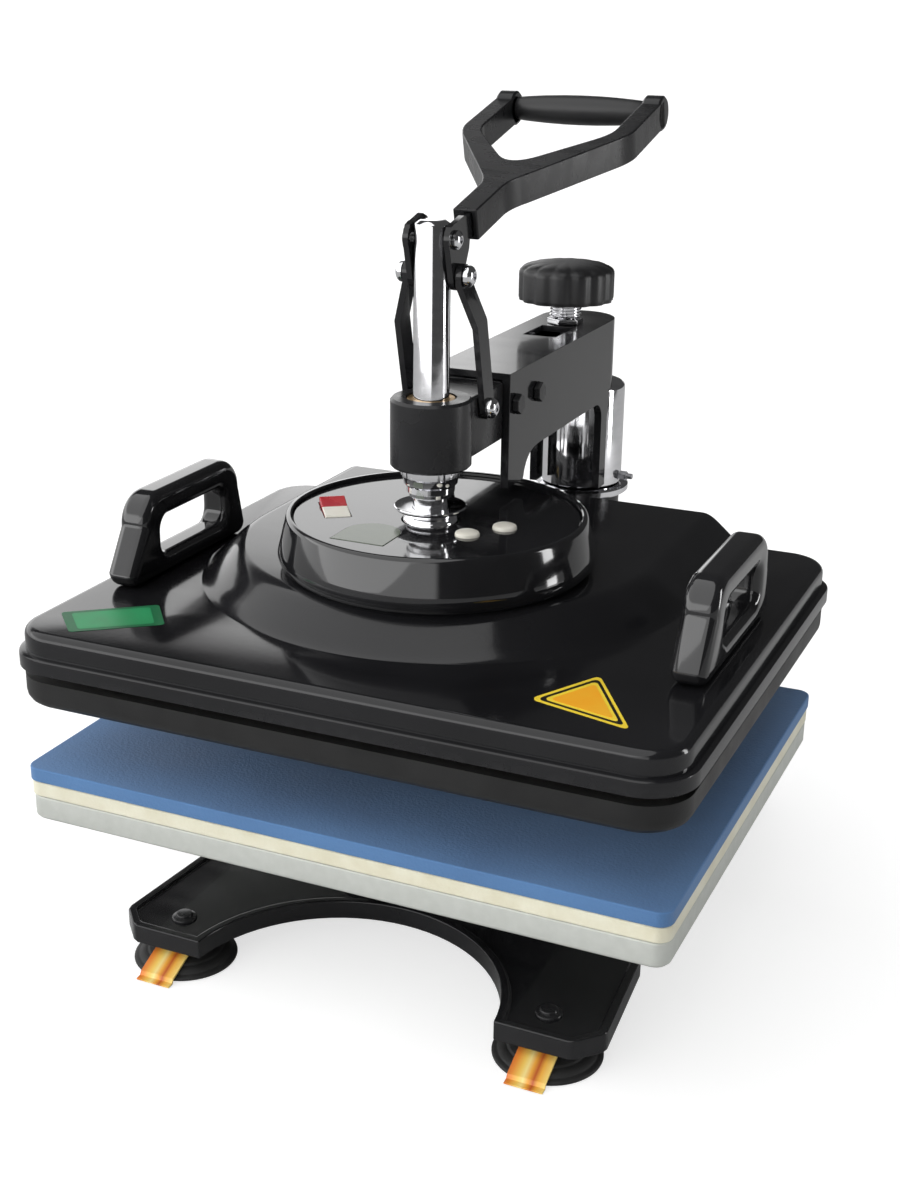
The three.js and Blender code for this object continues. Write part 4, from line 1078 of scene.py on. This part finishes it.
def buildKeys():
    for node, name, body in (("mode_button", "keyCapLeft", "mode_key"),
                             ("set_button", "keyCapRight", "set_key")):
        z = spanOf(node)[1][2] - 6.2
        key = turnPiece(name, [
            (0, z), (8.4, z), (8.4, z + 0.3), (6.8, z + 0.4), (6.8, z + 4.4), (6.4, z + 5.2),
            (5.4, z + 5.7), (3.6, z + 6.0), (0, z + 6.2)], nodePlace(node), steps=64)
        finishPiece(key, body, finishes["keyIvory"], [node])
    rocker = refineNode("power_switch", "rocker", finishes["switchRed"], 0.7, 3, 25)
    rocker.data.materials.append(finishes["keyIvory"])
    # the front half of the rocker is ivory
    middle = Vector(nodePlace("power_switch")) * mm
    turn = math.radians(housingSizes["rockerTurn"])
    along = Vector((math.sin(turn), -math.cos(turn), 0))
    for face in rocker.data.polygons:
        if (face.center - middle).dot(along) > 1 * mm:
            face.material_index = 1


# carry handles and inlet
carrySizes = {"edge": 6.1, "steps": 7, "corner": 19}


def buildCarryHandles():
    low, high = spanOf("carry_handle_left")
    bottom, top, toe, rear = low[2], high[2], low[1], high[1]
    front, corner = toe + 20, carrySizes["corner"]
    outer = arcPoints(rear - 8, bottom + 8, 8, -90, 0, 6)
    outer += arcPoints(rear - 6 - corner, top - corner, corner, 0, 90, 12)
    outer += arcPoints(front + 2 + corner, top - corner, corner, 90, 180, 12)
    outer += arcPoints(toe + 16, bottom + 9, 9, 180, 270, 6)
    loop = outlinePiece("carryLeft", outer, high[0] - low[0], (low[0], 0, 0), sideways)
    y0, y1, z0, z1, r = front + 20.5, rear - 23.5, bottom + 12.6, top - 16.5, 8
    inner = (arcPoints(y1 - r, z0 + r, r, -90, 0, 8) + arcPoints(y1 - r, z1 - r, r, 0, 90, 8)
             + arcPoints(y0 + r, z1 - r, r, 90, 180, 8) + arcPoints(y0 + r, z0 + r, r, 180, 270, 8))
    cutWith(loop, outlinePiece("carryCut", inner, 40, (low[0] - 10, 0, 0), sideways))
    soften(loop, carrySizes["edge"], carrySizes["steps"], 60, clamp=False)
    twin = copyPiece(loop, "carryRight", mirrorX=True)
    for handle, side in ((loop, "left"), (twin, "right")):
        finishPiece(handle, "press_head", finishes["glossHousing"],
                    [f"carry_handle_{side}"], 40)


def buildInlet():
    refineNode("power_inlet", "press_head", finishes["gripBlack"], 0.6, 2)
    low, high = spanOf("power_inlet")
    middleX, middleZ = (low[0] + high[0]) / 2, (low[2] + high[2]) / 2 - 1
    for i, (x, z) in enumerate(((-6.5, -2), (6.5, -2), (0, 2.4))):
        pin = outlinePiece(f"inletPin_{i + 1}", [(-1.2, 0), (1.2, 0), (1.2, 10), (-1.2, 10)], 4,
                           (middleX + x, 98.6, middleZ + z - 2))
        soften(pin, 0.5, 3, 40)
        finishPiece(pin, "press_head", finishes["brassPin"])


buildHousing()
buildKeys()
buildCarryHandles()
buildInlet()
print("controls, carry handles and inlet made")


# lever and links
leverSizes = {"tilt": 14.2, "pivot": leverPivot, "half": 8.5, "stem": (3, 17), "fork": (-47, 61),
              "wall": 12, "split": 66, "shoulder": 150, "reach": 213, "edge": 2.6, "boss": 10.5}


def toLever(piece):
    # drawn with u along Y and the lever's face up, then tipped onto the pivot
    setDown(piece, leverSizes["pivot"], (leverSizes["tilt"], 0, 0))
    return piece


def buildYoke():
    size = leverSizes
    (s0, s1), (f0, f1), wall = size["stem"], size["fork"], size["wall"]
    split, shoulder, reach = size["split"], size["shoulder"], size["reach"]
    outline = [(s0, 22), (s1, 22)] + curvePoints((s1, split - 8), (s1, split + 2), (s1 + 7, split + 13), 6)
    outline += curvePoints((f1 - 6, shoulder - 11), (f1, shoulder), (f1, shoulder + 9), 6)
    outline += [(f1, reach + 2), (f1 - wall, reach + 2)]
    outline += curvePoints((f1 - wall, shoulder + 10), (f1 - wall, shoulder),
                           (f1 - wall - 7, shoulder - 10), 6)
    outline += curvePoints((19, 108), (7, 92), (-5, 108), 10)
    outline += curvePoints((f0 + wall + 7, shoulder - 10), (f0 + wall, shoulder),
                           (f0 + wall, shoulder + 10), 6)
    outline += [(f0 + wall, reach + 2), (f0, reach + 2)]
    outline += curvePoints((f0, shoulder + 9), (f0, shoulder), (f0 + 6, shoulder - 11), 6)
    outline += curvePoints((s0 - 7, split + 13), (s0, split + 2), (s0, split - 8), 6)
    yoke = outlinePiece("handleYoke", outline, 2 * size["half"], (0, 0, -size["half"]))
    slot = outlinePiece("tongueCut", [(10.1, 18), (13.9, 18), (13.9, 57), (10.1, 57)], 13.6, (0, 0, -6.8))
    cutWith(yoke, slot)
    soften(yoke, size["edge"], 4, 50)
    for x in (f0, f1 - wall):
        boss = turnPiece("boss", [(0, 0), (9.3, 0), (size["boss"], 1.2), (size["boss"], wall - 1.2),
                                  (9.3, wall), (0, wall)], (x, reach, 0.5), "X", 64)
        joinTo(yoke, boss)
    toLever(yoke)
    finishPiece(yoke, "lever", finishes["satinFrame"], ["handle_yoke"], 40)
    middle, half = (f0 + f1) / 2, (f1 - f0) / 2 - wall - 0.3
    grip = turnPiece("gripBarrel", [
        (0, -half - 6), (5, -half - 6), (5, -half), (6.6, -half), (7.0, -half + 0.6), (7.7, -half * 0.8),
        (8.4, -half * 0.55), (8.9, -half * 0.25), (9, 0), (8.9, half * 0.25), (8.4, half * 0.55),
        (7.7, half * 0.8), (7.0, half - 0.6), (6.6, half), (5, half), (5, half + 6), (0, half + 6)],
        (middle, reach, 0.5), "X", 96)
    toLever(grip)
    finishPiece(grip, "lever", finishes["gripBlack"], ["grip_bar"], 40)


def boltPiece(name, profile, place, side, hexReach):
    # a domed head with a hexagon socket, on its shank
    bolt = turnPiece(name, profile, (0, 0, 0), "Z", 48)
    head = profile[-1][1]
    socket = turnPiece(name + "Hex",
                       [(0, head - 1.6), (hexReach, head - 1.6), (hexReach, head + 2), (0, head + 2)],
                       steps=6)
    cutWith(bolt, socket)
    setDown(bolt, (0, 0, 0), (0, 90 * side, 0))
    setDown(bolt, place)
    return bolt


def buildLever():
    for side in ("left", "right"):
        refineNode("lever_plate_" + side, "lever", finishes["glossFrame"], 0.4, 2)
        refineNode("link_" + side, "toggle_links", finishes["glossFrame"], 0.4, 2)
    tip = spanOf("lever_pivot_bolt")[1][0]
    profile = [(0, 0), (4, 0), (4, tip - 3), (5.2, tip - 3), (5.2, tip - 1.8), (4.6, tip - 1),
               (3.2, tip - 0.3), (2.6, tip)]
    right = boltPiece("pivotBolt", profile + [(0, tip)], leverPivot, 1, 1.9)
    left = boltPiece("pivotBoltLeft", profile + [(0, tip)], leverPivot, -1, 1.9)
    joinTo(right, left)
    finishPiece(right, "lever", finishes["chromePlate"], ["lever_pivot_bolt"])
    for kind in ("crank_bolt", "link_bolt"):
        for side, sign in (("left", -1), ("right", 1)):
            low, high = spanOf(f"{kind}_{side}")
            y, z = (low[1] + high[1]) / 2, (low[2] + high[2]) / 2
            near, tip = sorted((abs(low[0]), abs(high[0])))
            profile = [(0, near), (3, near), (3, tip - 4.4), (5.8, tip - 4.4), (5.8, tip - 2.6),
                       (5.2, tip - 1.4), (3.8, tip - 0.4), (2.9, tip), (0, tip)]
            bolt = boltPiece(kind.split("_")[0] + "Screw" + side.capitalize(), profile, (0, y, z), sign,
                             2.1)
            finishPiece(bolt, "toggle_links", finishes["chromePlate"], [f"{kind}_{side}"])


buildYoke()
buildLever()
print("lever and links made")
